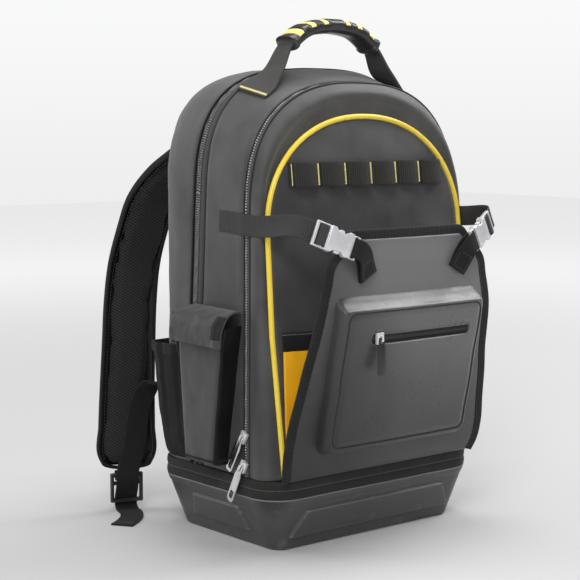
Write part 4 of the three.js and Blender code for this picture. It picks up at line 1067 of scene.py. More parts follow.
@dataclass
class Base:
    """Moulded tub and the webbing band sewn round its rim."""

    bottom: float = 58.3
    height: float = 20.0
    wall: float = 4.4
    tub_high: float = 58.0
    tub_wall: float = 2.6
    foot_round: float = 3.5
    flare_front: float = 19.0
    flare_side: float = 22.0
    field_rise: float = 2.6
    front_field: tuple[float, float, float, float] = (99.0, 117.0, 14.0, 43.0)
    side_field: tuple[float, float, float, float] = (40.0, 50.0, 17.5, 43.0)

    def build(self, shop: Workshop) -> None:
        """Makes the tub and the band."""
        tub = shop.grid(420, 58, self.tub, (self.length, self.tub_high), Vector((0, 0, 40)))
        bmesh.ops.holes_fill(tub, edges=[e for e in tub.edges if e.is_boundary and
                                         max(v.co.z for v in e.verts) < 0.001], sides=0)
        shop.piece("tub_shell", tub, Finish.BASE, ["base_tub"],
                   Skin(wall=self.tub_wall), sharp=30)
        shop.piece("rim_band", self.band(shop), Finish.BAND, ["base_band"],
                   Skin(wall=self.wall, bevel=0.7))

    def field(self, across: float, z: float, half: float, foot: float, low: float, high: float) -> float:
        """Height of a raised field with soft edges.

        Args:
            across: distance from the wall's middle.
            z: height.
            half: half width of its top edge.
            foot: half width of its foot.
            low: height of its foot.
            high: height of its top.

        Returns:
            The height in millimetres.
        """
        up = (z - low) / (high - low)
        side = mix(foot, half, clamp(up)) - abs(across)
        near = min(side * 0.93, z - low, high - z)
        return self.field_rise * smooth(near, -1.0, 1.2)

    def tub(self, u: float, v: float) -> Vector:
        """Point of the tub's outer face: a sloping wall with fields, and a rounded foot."""
        flat, out = self.edge(u)
        z = self.tub_high * v
        flare = mix(self.flare_front, self.flare_side, abs(out.x)) * (1 - v)
        foot = 3.0 * (1 - math.sqrt(clamp(1 - (1 - clamp(z / self.foot_round)) ** 2)))
        front = self.field(flat.x, z, *self.front_field) * smooth(abs(out.y), 0.8, 0.99)
        side = self.field(flat.y, z, *self.side_field) * smooth(abs(out.x), 0.8, 0.99)
        lip = 0.7 * smooth(z, 50.5, 51.5)
        point = flat + out * (front + side + lip - flare - foot - 0.6)
        return Vector((point.x, point.y, z))

    def ring(self, share: float) -> Vector:
        """Point of the band's outline at a share of its length, starting behind."""
        straight_x = 2 * (FORM.half_width - FORM.corner)
        straight_y = 2 * (FORM.half_depth - FORM.corner)
        arc = math.pi / 2 * FORM.corner
        corners = [Vector((1, 1)), Vector((-1, 1)), Vector((-1, -1)), Vector((1, -1))]
        outs = [Vector((0, 1)), Vector((-1, 0)), Vector((0, -1)), Vector((1, 0))]
        runs = [straight_x, straight_y, straight_x, straight_y]
        left = (share % 1) * (2 * straight_x + 2 * straight_y + 4 * arc)
        for i in range(4):
            a, b = corners[i], corners[(i + 1) % 4]
            centre_a = Vector((a.x * straight_x / 2, a.y * straight_y / 2))
            centre_b = Vector((b.x * straight_x / 2, b.y * straight_y / 2))
            out = outs[i]
            if left <= runs[i]:
                return centre_a.lerp(centre_b, left / runs[i]) + out * FORM.corner
            left -= runs[i]
            if left <= arc:
                turn = left / FORM.corner
                side = Vector((-out.y, out.x))
                return centre_b + (out * math.cos(turn) + side * math.sin(turn)) * FORM.corner
            left -= arc
        return self.ring(0)

    def edge(self, share: float) -> tuple[Vector, Vector]:
        """Point of the band's outline, and the direction out of it."""
        flat = self.ring(share)
        ahead = self.ring(share + 0.001) - self.ring(share - 0.001)
        out = Vector((ahead.y, -ahead.x)).normalized()
        return flat, out if out.dot(flat) > 0 else -out

    @property
    def length(self) -> float:
        """Length of the band's outline."""
        return 4 * (FORM.half_width + FORM.half_depth - 2 * FORM.corner) + 2 * math.pi * FORM.corner

    def band(self, shop: Workshop) -> bmesh.types.BMesh:
        """Band with two soft rows either side of its stitching."""
        def place(u: float, v: float) -> Vector:
            """Point of the band's face."""
            flat, out = self.edge(u)
            lobe = abs(math.sin(math.pi * 2 * v))
            swell = 1.1 * lobe**0.6 - 0.6 + rumple(Vector((flat.x, flat.y, v * 20)), 24, 0.5)
            point = flat + out * swell
            return Vector((point.x, point.y, self.bottom + v * self.height))

        return shop.grid(420, 10, place, (self.length, self.height), MIDDLE)


@dataclass
class Shell:
    """Gussets, zips, piping and the two panels of the body."""

    cloth: float = 2.4
    columns: int = 200
    seam_high: float = 238.0
    seam_wide: float = 1.15
    wide_zip: float = 21.9
    narrow_zip: float = 9.3
    wide_teeth: int = 460
    narrow_teeth: int = 400
    piping_radius: float = 2.9

    def strip(self, shop: Workshop, rows: Sequence[tuple[Section, float]], columns: int, across: int,
              lift: Callable[[float, float, Vector], float], width: float) -> bmesh.types.BMesh:
        """Arched strip over sections, raised by a height of its own.

        Args:
            shop: the workshop.
            rows: sections with their shift along Y.
            columns: squares along the arch.
            across: squares across the strip.
            lift: height above the sections for the shares along and across and the point.
            width: its width in millimetres.

        Returns:
            The mesh.
        """
        shares = FORM.even_shares(rows[len(rows) // 2][0])
        lines = {}

        def column(u: float) -> Track:
            """Line across the strip at a share of its length, made once."""
            key = round(u * columns)
            if key not in lines:
                t = clamp(shares.at(u)[0])
                points = []
                for s, shift in rows:
                    p = FORM.outline(s, t)
                    points.append((p.x, p.y + shift, p.z))
                lines[key] = Track.through(points)
            return lines[key]

        def place(u: float, v: float) -> Vector:
            """Point of the strip."""
            track = column(u)
            p = Vector(track.at(v * track.length))
            ahead = column(min(u + 1 / columns, 1)).at(v * track.length)
            behind = column(max(u - 1 / columns, 0)).at(v * track.length)
            along = Vector(ahead) - Vector(behind)
            slope = Vector(track.at(min(v + 0.02, 1) * track.length)) - Vector(
                track.at(max(v - 0.02, 0) * track.length))
            out = along.cross(slope).normalized()
            if out.dot(p - Vector((0, p.y, 200))) < 0:
                out = -out
            return p + out * lift(u, v, p)

        return shop.grid(columns, across, place, (shares.whole, width), MIDDLE)

    def build(self, shop: Workshop) -> None:
        """Makes every piece of the shell."""
        half = FORM.gap / 2
        cloth = Skin(wall=self.cloth, bevel=0.6)

        def puff(u: float, v: float, p: Vector) -> float:
            """Swell of a plain wall."""
            edge = smooth(v, 0, 0.05) * smooth(1 - v, 0, 0.05)
            return edge * (1.2 + rumple(p, 46, 1.3) + rumple(p, 17, 0.5, 3)) - 0.2

        def rear(u: float, v: float, p: Vector) -> float:
            """Swell of the rear wall, less its seam."""
            seam = math.exp(-(((p.z - self.seam_high) / 2.2) ** 2))
            return puff(u, v, p) - 1.5 * seam * smooth(v, 0.1, 0.3)

        def padded(u: float, v: float, p: Vector) -> float:
            """Swell of the front wall."""
            edge = math.sin(math.pi * clamp(v))
            return edge * (2.6 + rumple(p, 34, 1.2) + rumple(p, 12, 0.4, 5)) - 0.2

        rear_rows = [(FORM.back_edge, -half), (FORM.back_round, 0), (FORM.rear_side, 0),
                     (FORM.rear_zip_back, half)]
        shop.piece("rear_wall", self.strip(shop, rear_rows, self.columns, 20, rear, 90), Finish.BODY,
                   ["rear_gusset"], cloth)
        mid_rows = [(FORM.rear_zip_front, -half), (FORM.front_zip_back, half)]
        shop.piece("middle_wall", self.strip(shop, mid_rows, self.columns, 16, puff, 71), Finish.BODY,
                   ["mid_gusset"], cloth)
        front_rows = [(FORM.front_zip_front, -half), (FORM.front_round, 0),
                      (FORM.pipe_line, FORM.piping + FORM.gap)]
        roll = self.strip(shop, front_rows, self.columns, 22, padded, 40)
        inner = [v for v in roll.verts if not v.is_boundary]
        for _ in range(12):
            bmesh.ops.smooth_vert(roll, verts=inner, factor=0.5, use_axis_x=True, use_axis_y=True,
                                  use_axis_z=True)
        shop.piece("front_wall", roll, Finish.BODY, ["front_gusset"], cloth)
        self.seam_shade_lines(shop)
        self.zips(shop, half)
        self.panels(shop)
        self.seams(shop)

    def seam_shade_lines(self, shop: Workshop) -> None:
        """Painted shade: a dark line along each side of both long zips, in the shade of their seams."""
        lines = ((FORM.rear_zip_back, -0.1), (FORM.rear_zip_front, 0.1), (FORM.front_zip_back, -0.1),
                 (FORM.front_zip_front, 0.1))
        for number, (section, shift) in enumerate(lines, 1):
            line = FORM.even_line(section, 240, shift)
            shop.piece(f"zip_seam_shade_{number}", shop.tube(line, self.seam_wide, 8), Finish.CREASE)

    def zips(self, shop: Workshop, half: float) -> None:
        """Two long zips: folded welts either side of a raised coil."""
        def ridge(x: float, middle: float, half_wide: float, high: float) -> float:
            """Height of a rounded ridge."""
            return high * math.sqrt(clamp(1 - ((x - middle) / half_wide) ** 2))

        def wide(u: float, v: float, p: Vector) -> float:
            """Profile of the rear zip."""
            x = v * self.wide_zip
            tooth = 0.78 + 0.22 * math.sin(u * 2 * math.pi * self.wide_teeth)
            coil, welt = ridge(x, 6.6, 4.4, 2.1) * tooth, ridge(x, 15.3, 3.1, 2.3)
            return coil + welt + rumple(p, 30, 0.2) - 1.7

        def narrow(u: float, v: float, p: Vector) -> float:
            """Profile of the front zip."""
            x = v * self.narrow_zip
            tooth = 0.65 + 0.35 * math.sin(u * 2 * math.pi * self.narrow_teeth)
            coil, welt = ridge(x, 2.0, 1.4, 1.5) * tooth, ridge(x, 6.3, 2.1, 1.9)
            return coil + welt - 1.2

        rear_rows = [(FORM.rear_zip_back, -half), (FORM.rear_zip_front, half)]
        shop.piece("rear_zip", self.strip(shop, rear_rows, 1500, 26, wide, self.wide_zip), Finish.WIDE_ZIP,
                   ["zip_rear"], Skin(wall=2.2))
        front_rows = [(FORM.front_zip_back, -half), (FORM.front_zip_front, half)]
        shop.piece("front_zip", self.strip(shop, front_rows, 1300, 16, narrow, self.narrow_zip),
                   Finish.NARROW_ZIP, ["zip_front"], Skin(wall=2.2))

    def panels(self, shop: Workshop) -> None:
        """Front panel, back panel and the piping between the front wall and its panel."""
        def face(s: Section, inset: float, depth: Callable[[float, float], float],
                 swell: Callable[[float, float], float]) -> Place:
            """Place function of a panel."""
            def place(u: float, v: float) -> Vector:
                """Point of the panel."""
                left = FORM.outline(s, mix(0.0, 0.4999, u), inset)
                x = mix(left.x, -left.x, v)
                return Vector((x, depth(x, left.z) + swell(x, left.z), left.z))
            return place

        def front_swell(x: float, z: float) -> float:
            """Swell of the front panel."""
            return rumple(Vector((x, 0, z)), 60, 1.2, 2) + rumple(Vector((x, 9, z)), 21, 0.35, 4)

        def back_swell(x: float, z: float) -> float:
            """Padding of the back panel, in lanes."""
            lane = abs(math.sin(math.pi * (x + 120) / 80))
            rung = abs(math.sin(math.pi * (z - 78) / 134))
            rim = smooth(FORM.half(FORM.back_edge, z) - abs(x), 2, 16) * smooth(481 - z, 2, 16)
            return 3.6 * (lane**0.45) * (rung**0.35) * rim - 1.4

        front = shop.grid(90, 60, face(FORM.pipe_line, FORM.piping, FORM.panel_face, front_swell),
                          (370, 260), MIDDLE)
        shop.piece("front_face", front, Finish.BODY, ["front_panel"], Skin(wall=2.3))
        wall = face(FORM.back_edge, FORM.gap, lambda x, z: 101.4, back_swell)
        back = shop.grid(110, 90, wall, (400, 240), MIDDLE)
        pad = shop.piece("back_pad", back, Finish.MESH, ["back_panel"], Skin(wall=4.4))
        cord = shop.tube(FORM.even_line(FORM.pipe_line, 260), self.piping_radius, 12)
        shop.piece("piping_cord", cord, Finish.CORDING, ["piping"])

    def seams(self, shop: Workshop) -> None:
        """Seam across the rear wall, on both sides."""
        for side in (-1, 1):
            points = []
            for i in range(25):
                y = mix(44, 80, i / 24)
                x = side * (FORM.side_face(y, self.seam_high) + 0.7)
                points.append(Vector((x, y, self.seam_high)))
            shop.piece(f"wall_seam_{'right' if side > 0 else 'left'}", shop.tube(points, 0.8, 8),
                       Finish.BLACK)


@dataclass
class ToolLoops:
    """Webbing strip on the front panel, sewn into six loops with pale bar tacks."""

    count: int = 6
    pitch: float = 36.2
    bottom: float = 379.0
    width: float = 25.0
    tack: float = 6.0
    rise: float = 9.0
    reach: float = 108.6

    def out(self, x: float, height: float) -> float:
        """How far the loops stand off the panel at a place.

        Args:
            x: place along the strip.
            height: share of the strip's width.

        Returns:
            The height in millimetres.
        """
        place = (x + self.reach) / self.pitch
        share = place - math.floor(place)
        edge = self.tack / 2 / self.pitch
        t = clamp((share - edge) / (1 - 2 * edge))
        size = 0.88 + 0.16 * noise.noise(Vector((math.floor(place) * 1.7, 0.3, 0.9)))
        bulge = min(math.sin(math.pi * t) ** 0.42, 1.0) if 0 < t < 1 else 0.0
        return self.rise * size * bulge * (1.06 - 0.16 * height)

    def build(self, shop: Workshop) -> None:
        """Makes the strip, its loops and its tacks."""
        def flat(u: float, v: float) -> Vector:
            """Point of the strip that the loops are sewn to."""
            x, z = mix(-self.reach, self.reach, u), self.bottom + v * self.width
            return Vector((x, FORM.panel_face(x, z) - 0.9, z))

        def looped(u: float, v: float) -> Vector:
            """Point of the loops."""
            x, z = mix(-self.reach, self.reach, u), self.bottom + v * self.width
            lift = self.out(x, v)
            sag = -0.9 * lift / self.rise * (1 - v) + 0.4 * lift / self.rise * v
            return Vector((x, FORM.panel_face(x, z) - 3.0 - lift, z + sag))

        size = (2 * self.reach, self.width)
        shop.piece("loop_strip", shop.grid(60, 6, flat, size), Finish.LOOPS, ["loop_backing"],
                   Skin(wall=1.5, side=0))
        shop.piece("loop_row", shop.grid(260, 8, looped, size), Finish.LOOPS, ["tool_loops"],
                   Skin(wall=1.7, side=0, bevel=0.3))
        rows = []
        for i in range(self.count + 1):
            x = clamp(-self.reach + i * self.pitch, -self.reach + 2.4, self.reach - 2.4)
            for step in (-0.5, 0.5):
                top = [Vector((x + step, FORM.panel_face(x, z) - 4.15, z)) for z in
                       (self.bottom + 1.2, self.bottom + 12, self.bottom + self.width - 1.2)]
                rows.append(top)
        shop.stitches("loop_tacks", rows, Finish.THREAD, 1.5, 2.0, 0.62)


@dataclass
class InnerPocket:
    """Amber pocket on the front panel, behind the cover, with a black hem."""

    top: float = 232.0
    hem: float = 20.0
    bulge: float = 12.0
    inset: float = 9.0

    def face(self, x: float, z: float) -> float:
        """Place along Y of the pocket's outer face."""
        half = FORM.half_width - self.inset
        across = min(abs(x) / half, 1)
        up = clamp((z - FORM.seam) / (self.top - FORM.seam))
        fold = 1.5 * math.sin((x + 0.35 * z) / 12) * up * smooth(1 - across, 0.02, 0.2)
        bulge = self.bulge * (1 - across**2) * up**0.7
        return FORM.panel_face(x, z) - FORM.gap - 1.2 - bulge - abs(fold) * 0.8

    def build(self, shop: Workshop) -> None:
        """Makes the pocket and its hem."""
        split = self.top - self.hem

        def cloth(u: float, v: float) -> Vector:
            """Point of the pocket."""
            x, z = mix(-127.8, 127.8, u), mix(FORM.seam, split + 0.5, v)
            return Vector((x, self.face(x, z) + rumple(Vector((x, 0, z)), 26, 0.9), z))

        def hem(u: float, v: float) -> Vector:
            """Point of its hem."""
            x, z = mix(-128.8, 128.8, u), mix(split, self.top, v)
            lobe = math.sin(math.pi * clamp(v)) ** 0.4
            return Vector((x, self.face(x, z) - 0.5 - 0.8 * lobe, z))

        shop.piece("amber_pocket", shop.grid(120, 60, cloth, (256, 134), MIDDLE), Finish.AMBER,
                   ["inner_pocket"], Skin(wall=1.8, side=0))
        shop.piece("amber_pocket_hem", shop.grid(120, 10, hem, (258, self.hem), MIDDLE), Finish.HEM,
                   ["inner_pocket_hem"], Skin(wall=1.8, side=0, bevel=0.4))


class CoverForm:
    """Shape of the front cover: rows of height, half width, and reach at its edge and its middle."""

    top: float = 337.0
    lean: float = 150.0
    half_width: float = 143.5
    rows = ((0, 0.965, 0.703, 0.703), (0.05, 0.99, 0.735, 0.745), (0.12, 1, 0.762, 0.782),
            (0.24, 0.98, 0.794, 0.826), (0.355, 0.95, 0.837, 0.873), (0.47, 0.916, 0.873, 0.913),
            (0.55, 0.895, 0.907, 0.945), (0.665, 0.866, 0.947, 0.978), (0.78, 0.818, 0.954, 0.996),
            (0.87, 0.767, 0.954, 0.994), (0.915, 0.672, 0.947, 0.98), (1, 0.592, 0.927, 0.953))

    def __init__(self) -> None:
        """Makes the rows a smooth track."""
        self.track = Track([row[0] for row in self.rows], [row[1:] for row in self.rows])

    def row(self, z: float) -> list[float]:
        """Half width, edge and middle at a height."""
        return self.track.at(clamp((z - FORM.seam) / (self.top - FORM.seam)))

    def half(self, z: float) -> float:
        """Half width at a height."""
        return self.row(z)[0] * self.half_width

    def face(self, x: float, z: float) -> float:
        """Place along Y of the cover's middle plane."""
        half, edge, middle = self.row(z)
        across = min(abs(x) / (half * self.half_width), 1)
        return -mix(middle, edge, across**2) * self.lean


COVER = CoverForm()


@dataclass
class Cover:
    """Front cover: smooth coated sheet, webbing binding, and the moulded box pocket with its zip."""

    binding: float = 12.0
    corner: float = 11.0
    box_half: float = 103.0
    box_low: float = 104.0
    box_high: float = 272.0
    box_depth: float = 16.2
    box_ledge: float = 18.0
    box_corner: float = 14.0
    slot_x: float = 7.5
    slot_z: float = 226.5
    slot_long: float = 143.0
    slot_high: float = 13.0
    slot_depth: float = 2.2
    rim: float = 8.0
    crease_corner: float = 8.0
    coil_wide: float = 11.5
    coil_half: float = 2.8
    coil_pitch: float = 1.6

    def build(self, shop: Workshop) -> None:
        """Makes the cover's pieces."""
        inset = self.binding - 1.5

        def sheet(u: float, v: float) -> Vector:
            """Point of the cover."""
            z = mix(FORM.seam + 0.3, COVER.top - inset, v)
            half = COVER.half(z) - inset
            x = mix(-half, half, u)
            wave = rumple(Vector((x, 0, z)), 48, 0.7, 7) * smooth(1 - abs(2 * u - 1), 0, 0.1)
            return Vector((x, COVER.face(x, z) + wave, z))

        shop.piece("cover_face", shop.grid(110, 100, sheet, (270, 250), MIDDLE), Finish.COVER,
                   ["cover_sheet"], Skin(wall=2.3, side=0))
        self.edge(shop)
        self.box(shop)
        self.zip(shop)

    def outline(self, inset: float) -> list[tuple[float, float]]:
        """Outline of the cover as x and z, from its left foot over the top to its right foot."""
        left = []
        for i in range(40):
            z = mix(FORM.seam, COVER.top - inset, i / 39)
            left.append((-COVER.half(z) + inset, z))
        corner = left[-1]
        side = [p for p in left if p[1] < corner[1] - self.corner]
        turn = rounded([side[-1], corner, (corner[0] + 40, corner[1])], self.corner)[1:-1]
        half = side + turn
        return half + [(0.0, corner[1])] + [(-x, z) for x, z in reversed(half)]

    def edge(self, shop: Workshop) -> None:
        """Binding folded over the cover's edge, with a row of stitches."""
        line = self.outline(self.binding / 2)
        fine = [along_line(line, i / 360) for i in range(361)]
        points = [Vector((x, COVER.face(x, z), z)) for x, z in fine]
        across = []
        for i in range(len(points)):
            ahead = points[min(i + 1, 360)] - points[max(i - 1, 0)]
            across.append(ahead.cross(Vector((0, -1, 0))))
        bm = shop.rod(points, across, self.binding / 2, 2.1, 16, box=0.55)
        shop.piece("cover_edge", bm, Finish.BINDING, ["cover_binding"])
        inner = [along_line(self.outline(self.binding - 1.8), i / 200) for i in range(201)]
        seam = [Vector((x, COVER.face(x, z) - 2.15, z)) for x, z in inner]
        shop.stitches("cover_edge_stitches", [seam], Finish.GREY_THREAD, 3.0, 2.2, 0.35)

    def box_rise(self, x: float, z: float) -> float:
        """Height of the box pocket over the cover's middle plane.

        Args:
            x: place across.
            z: height.

        Returns:
            The height; just under the cover's face outside the box.
        """
        dx = self.box_half - abs(x)
        low, high = z - self.box_low, self.box_high - z
        corner_z = min(low, high)
        if dx < self.box_corner and corner_z < self.box_corner:
            gone = math.hypot(self.box_corner - dx, self.box_corner - corner_z)
            inside = self.box_corner - gone
        else:
            inside = min(dx, corner_z)
        if inside <= 0:
            return 0.6
        wall = clamp(inside / 7.0)
        wall = math.sqrt(1 - (1 - wall) ** 2)
        ledge = clamp(high / self.box_ledge)
        slope = ledge - 0.055 * math.sin(math.pi * ledge) ** 2
        ridge = 1 - (1 - clamp(high / (self.box_ledge + 5))) ** 2.4
        top = mix(slope, ridge, smooth(ledge, 0.72, 1.0))
        face = self.box_depth * min(wall, 1) * top
        swell = 1.5 * (1 - (x / self.box_half) ** 2) * smooth(high, 18, 70) * smooth(low, 4, 60)
        soft = rumple(Vector((x, 0, z)), 44, 0.5, 9) * wall
        return 0.6 + face + swell + soft - self.slot(x, z) * self.slot_depth - self.groove(x, z) * wall

    def slot(self, x: float, z: float) -> float:
        """Share of the zip's recess at a place."""
        reach = (self.slot_long - self.slot_high) / 2
        dx = max(abs(x - self.slot_x) - reach, 0)
        far = math.hypot(dx, z - self.slot_z)
        return 1 - smooth(far, self.slot_high / 2 - 1.4, self.slot_high / 2 + 0.6)

    @property
    def front_face(self) -> tuple[float, float, float]:
        """Half width, foot and top of the box pocket's front face."""
        return self.box_half - self.rim, self.box_low + self.rim, self.box_high - self.box_ledge

    def face_edge(self, share: float) -> tuple[float, float]:
        """Place of the crease round the box pocket's front face."""
        half, low, high = self.front_face
        line = rounded([(0, low), (half, low), (half, high), (-half, high), (-half, low), (0, low)], 11)
        x, z = along_line(line, share)
        return x, z

    def groove(self, x: float, z: float) -> float:
        """Depth of the crease at a place."""
        half, low, high = self.front_face
        corner = self.crease_corner
        dx, dz = half - abs(x), min(z - low, high - z)
        if dx < corner and dz < corner:
            near = corner - math.hypot(corner - dx, corner - dz)
        else:
            near = min(dx, dz)
        puffed = 1.5 * smooth(near, 0.5, 7) if near > 0 else 0.4 * smooth(-near, 0, 3)
        return 1.3 - puffed

    def box_place(self, x: float, z: float, out: float = 0.0) -> Vector:
        """Point on the box pocket's face."""
        return Vector((x, COVER.face(x, z) - self.box_rise(x, z) - out, z))

    def box(self, shop: Workshop) -> None:
        """Moulded box pocket, with the painted shade line in the crease round its front face and the welt
        round its zip.
        """
        def place(u: float, v: float) -> Vector:
            """Point of the box pocket."""
            x = mix(-self.box_half - 0.4, self.box_half + 0.4, ease(u))
            z = mix(self.box_low - 0.4, self.box_high + 0.4, ease(v))
            return self.box_place(x, z)

        def ease(t: float) -> float:
            """Share with its steps drawn together at the edges."""
            return t - 0.055 * math.sin(4 * math.pi * t) / math.pi - 0.045 * math.sin(2 * math.pi * t)

        bm = shop.grid(190, 160, place, (206, 168), MIDDLE)
        shop.piece("box_pocket", bm, Finish.BOX, ["cover_pocket"])
        # A dark tube in the groove round the box pocket's front face paints the shade of that crease.
        crease = []
        for i in range(241):
            x, z = self.face_edge(i / 240)
            crease.append(self.box_place(x, z, -0.25))
        shop.piece("box_crease_shade", shop.tube(crease, 1.1, 8, True), Finish.CREASE)
        welt = []
        reach = (self.slot_long - self.slot_high) / 2
        for i in range(120):
            turn = 2 * math.pi * i / 120
            side = math.copysign(reach, math.cos(turn))
            x = self.slot_x + side + (self.slot_high / 2 + 1.2) * math.cos(turn)
            z = self.slot_z + (self.slot_high / 2 + 1.2) * math.sin(turn)
            welt.append(self.box_place(x, z, -0.3))
        shop.piece("zip_welt", shop.rod(welt, [Vector((0, 1, 0))] * 120, 1.0, 1.2, 8, True), Finish.BOX)

    def zip(self, shop: Workshop) -> None:
        """Coil in the recess, with its slider and pull."""
        reach = self.slot_long / 2 - 1.5

        def coil(u: float, v: float) -> Vector:
            """Point of the zip's coil."""
            x = self.slot_x + mix(-reach, reach, u)
            aside = (v - 0.5) * self.coil_wide
            base = self.box_place(x, self.slot_z, 0.25).y
            tooth = 1.3 * math.sqrt(clamp(1 - (aside / self.coil_half) ** 2))
            ripple = 0.82 + 0.18 * math.sin(2 * math.pi * x / self.coil_pitch)
            return Vector((x, base - tooth * ripple, self.slot_z + aside))

        shop.piece("pocket_zip_row", shop.grid(560, 14, coil, (2 * reach, self.coil_wide), MIDDLE),
                   Finish.POCKET_ZIP, ["pocket_zip"])
        shop.piece("pocket_zip_slider", shop.softened("pocket_slider", 0.45), Finish.SATIN,
                   ["pocket_slider"])
        shop.piece("pocket_zip_pull", shop.softened("pocket_pull", 0.4), Finish.LOCK,
                   ["pocket_pull"], body="cover_pull")


@dataclass
class SideStraps:
    """Webbing from the body to the cover on both sides, with side-release buckles and sewn tabs."""

    strap: tuple = ((-149, -16, 343, 22, 0, 0, 1), (-148.7, -42, 342, 22, 0, 0, 1),
                    (-149.8, -58.6, 341, 22, 0, 0, 1), (-146.3, -75, 340, 22, 0.02, 0, 1),
                    (-134.6, -134.8, 340.7, 22, 0.41, 0.02, 0.91),
                    (-122.5, -139.2, 335.4, 22, 0.41, 0.02, 0.91),
                    (-121.9, -146.1, 335.2, 22, 0.41, 0.02, 0.91),
                    (-117, -147.9, 333.1, 22, 0.41, 0.02, 0.91),
                    (-114.8, -144.8, 332, 22, 0.41, 0.02, 0.91))
    tab: tuple = ((-63.7, -153, 289, 24, 0.82, -0.05, 0.57), (-81, -160.3, 317.3, 20, 0.41, 0.02, 0.91),
                  (-84.8, -159.5, 319, 20, 0.41, 0.02, 0.91), (-87, -158.7, 319.9, 20, 0.41, 0.02, 0.91),
                  (-87.4, -157.5, 320.1, 20, 0.41, 0.02, 0.91), (-86.1, -153.3, 319.4, 20, 0.41, 0.02, 0.91),
                  (-85.2, -152.6, 319, 20, 0.41, 0.02, 0.91), (-83, -153.3, 318.1, 20, 0.41, 0.02, 0.91),
                  (-79.5, -153.8, 316.5, 20, 0.41, 0.02, 0.91), (-63.7, -150.9, 289, 24, 0.82, -0.05, 0.57))

    def build(self, shop: Workshop) -> None:
        """Makes both sides."""
        strap, tab = Path(self.strap), Path(self.tab)

        def hang(u: float, v: float) -> float:
            """Swell of the strap where it hangs free."""
            free = smooth(u, 0.34, 0.5) * smooth(0.82 - u, 0, 0.2)
            return 1.2 * free * math.sin(math.pi * v) - 0.8 * free

        for side, mirrored in (("left", False), ("right", True)):
            shop.piece(f"cover_strap_{side}", shop.ribbon(self.strap, 160, 8, hang), Finish.STRAP,
                       [f"side_strap_{side}"], Skin(wall=1.7, side=0, bevel=0.3), mirrored=mirrored)
            shop.piece(f"cover_tongue_{side}", shop.ribbon(self.tab, 150, 8), Finish.BLACK,
                       [f"cover_tab_{side}"], Skin(wall=1.6, side=0, bevel=0.3), mirrored=mirrored)
            for part in ("body", "clip"):
                node = f"buckle_{part}_{side}"
                shop.piece(f"cast_{node}", shop.softened(node, 0.7, 3, 20), Finish.SATIN, [node])
            rows = [strap.line((0.015, 0.13), across, 1.15) for across in (-0.74, 0.74)]
            for at in (0.02, 0.07, 0.125):
                spot, wide, up, width = strap.frame(at)
                rows.append([spot + wide * (width * t) + up * 1.15 for t in (-0.36, 0, 0.36)])
            shop.stitches(f"cover_strap_stitches_{side}", rows, Finish.GREY_THREAD, 2.6, 1.9, 0.36,
                          mirrored=mirrored)
            rows = [tab.line((0.02, 0.22), across, sign * 1.2) for across in (-0.72, 0.72)
                    for sign in (-1, 1)]
            for at in (0.03, 0.21):
                spot, wide, up, width = tab.frame(at)
                rows += [[spot + wide * (width * t) + up * (sign * 1.2) for t in (-0.34, 0, 0.34)]
                         for sign in (-1, 1)]
            shop.stitches(f"cover_tongue_stitches_{side}", rows, Finish.GREY_THREAD, 2.6, 1.9, 0.36,
                          mirrored=mirrored)


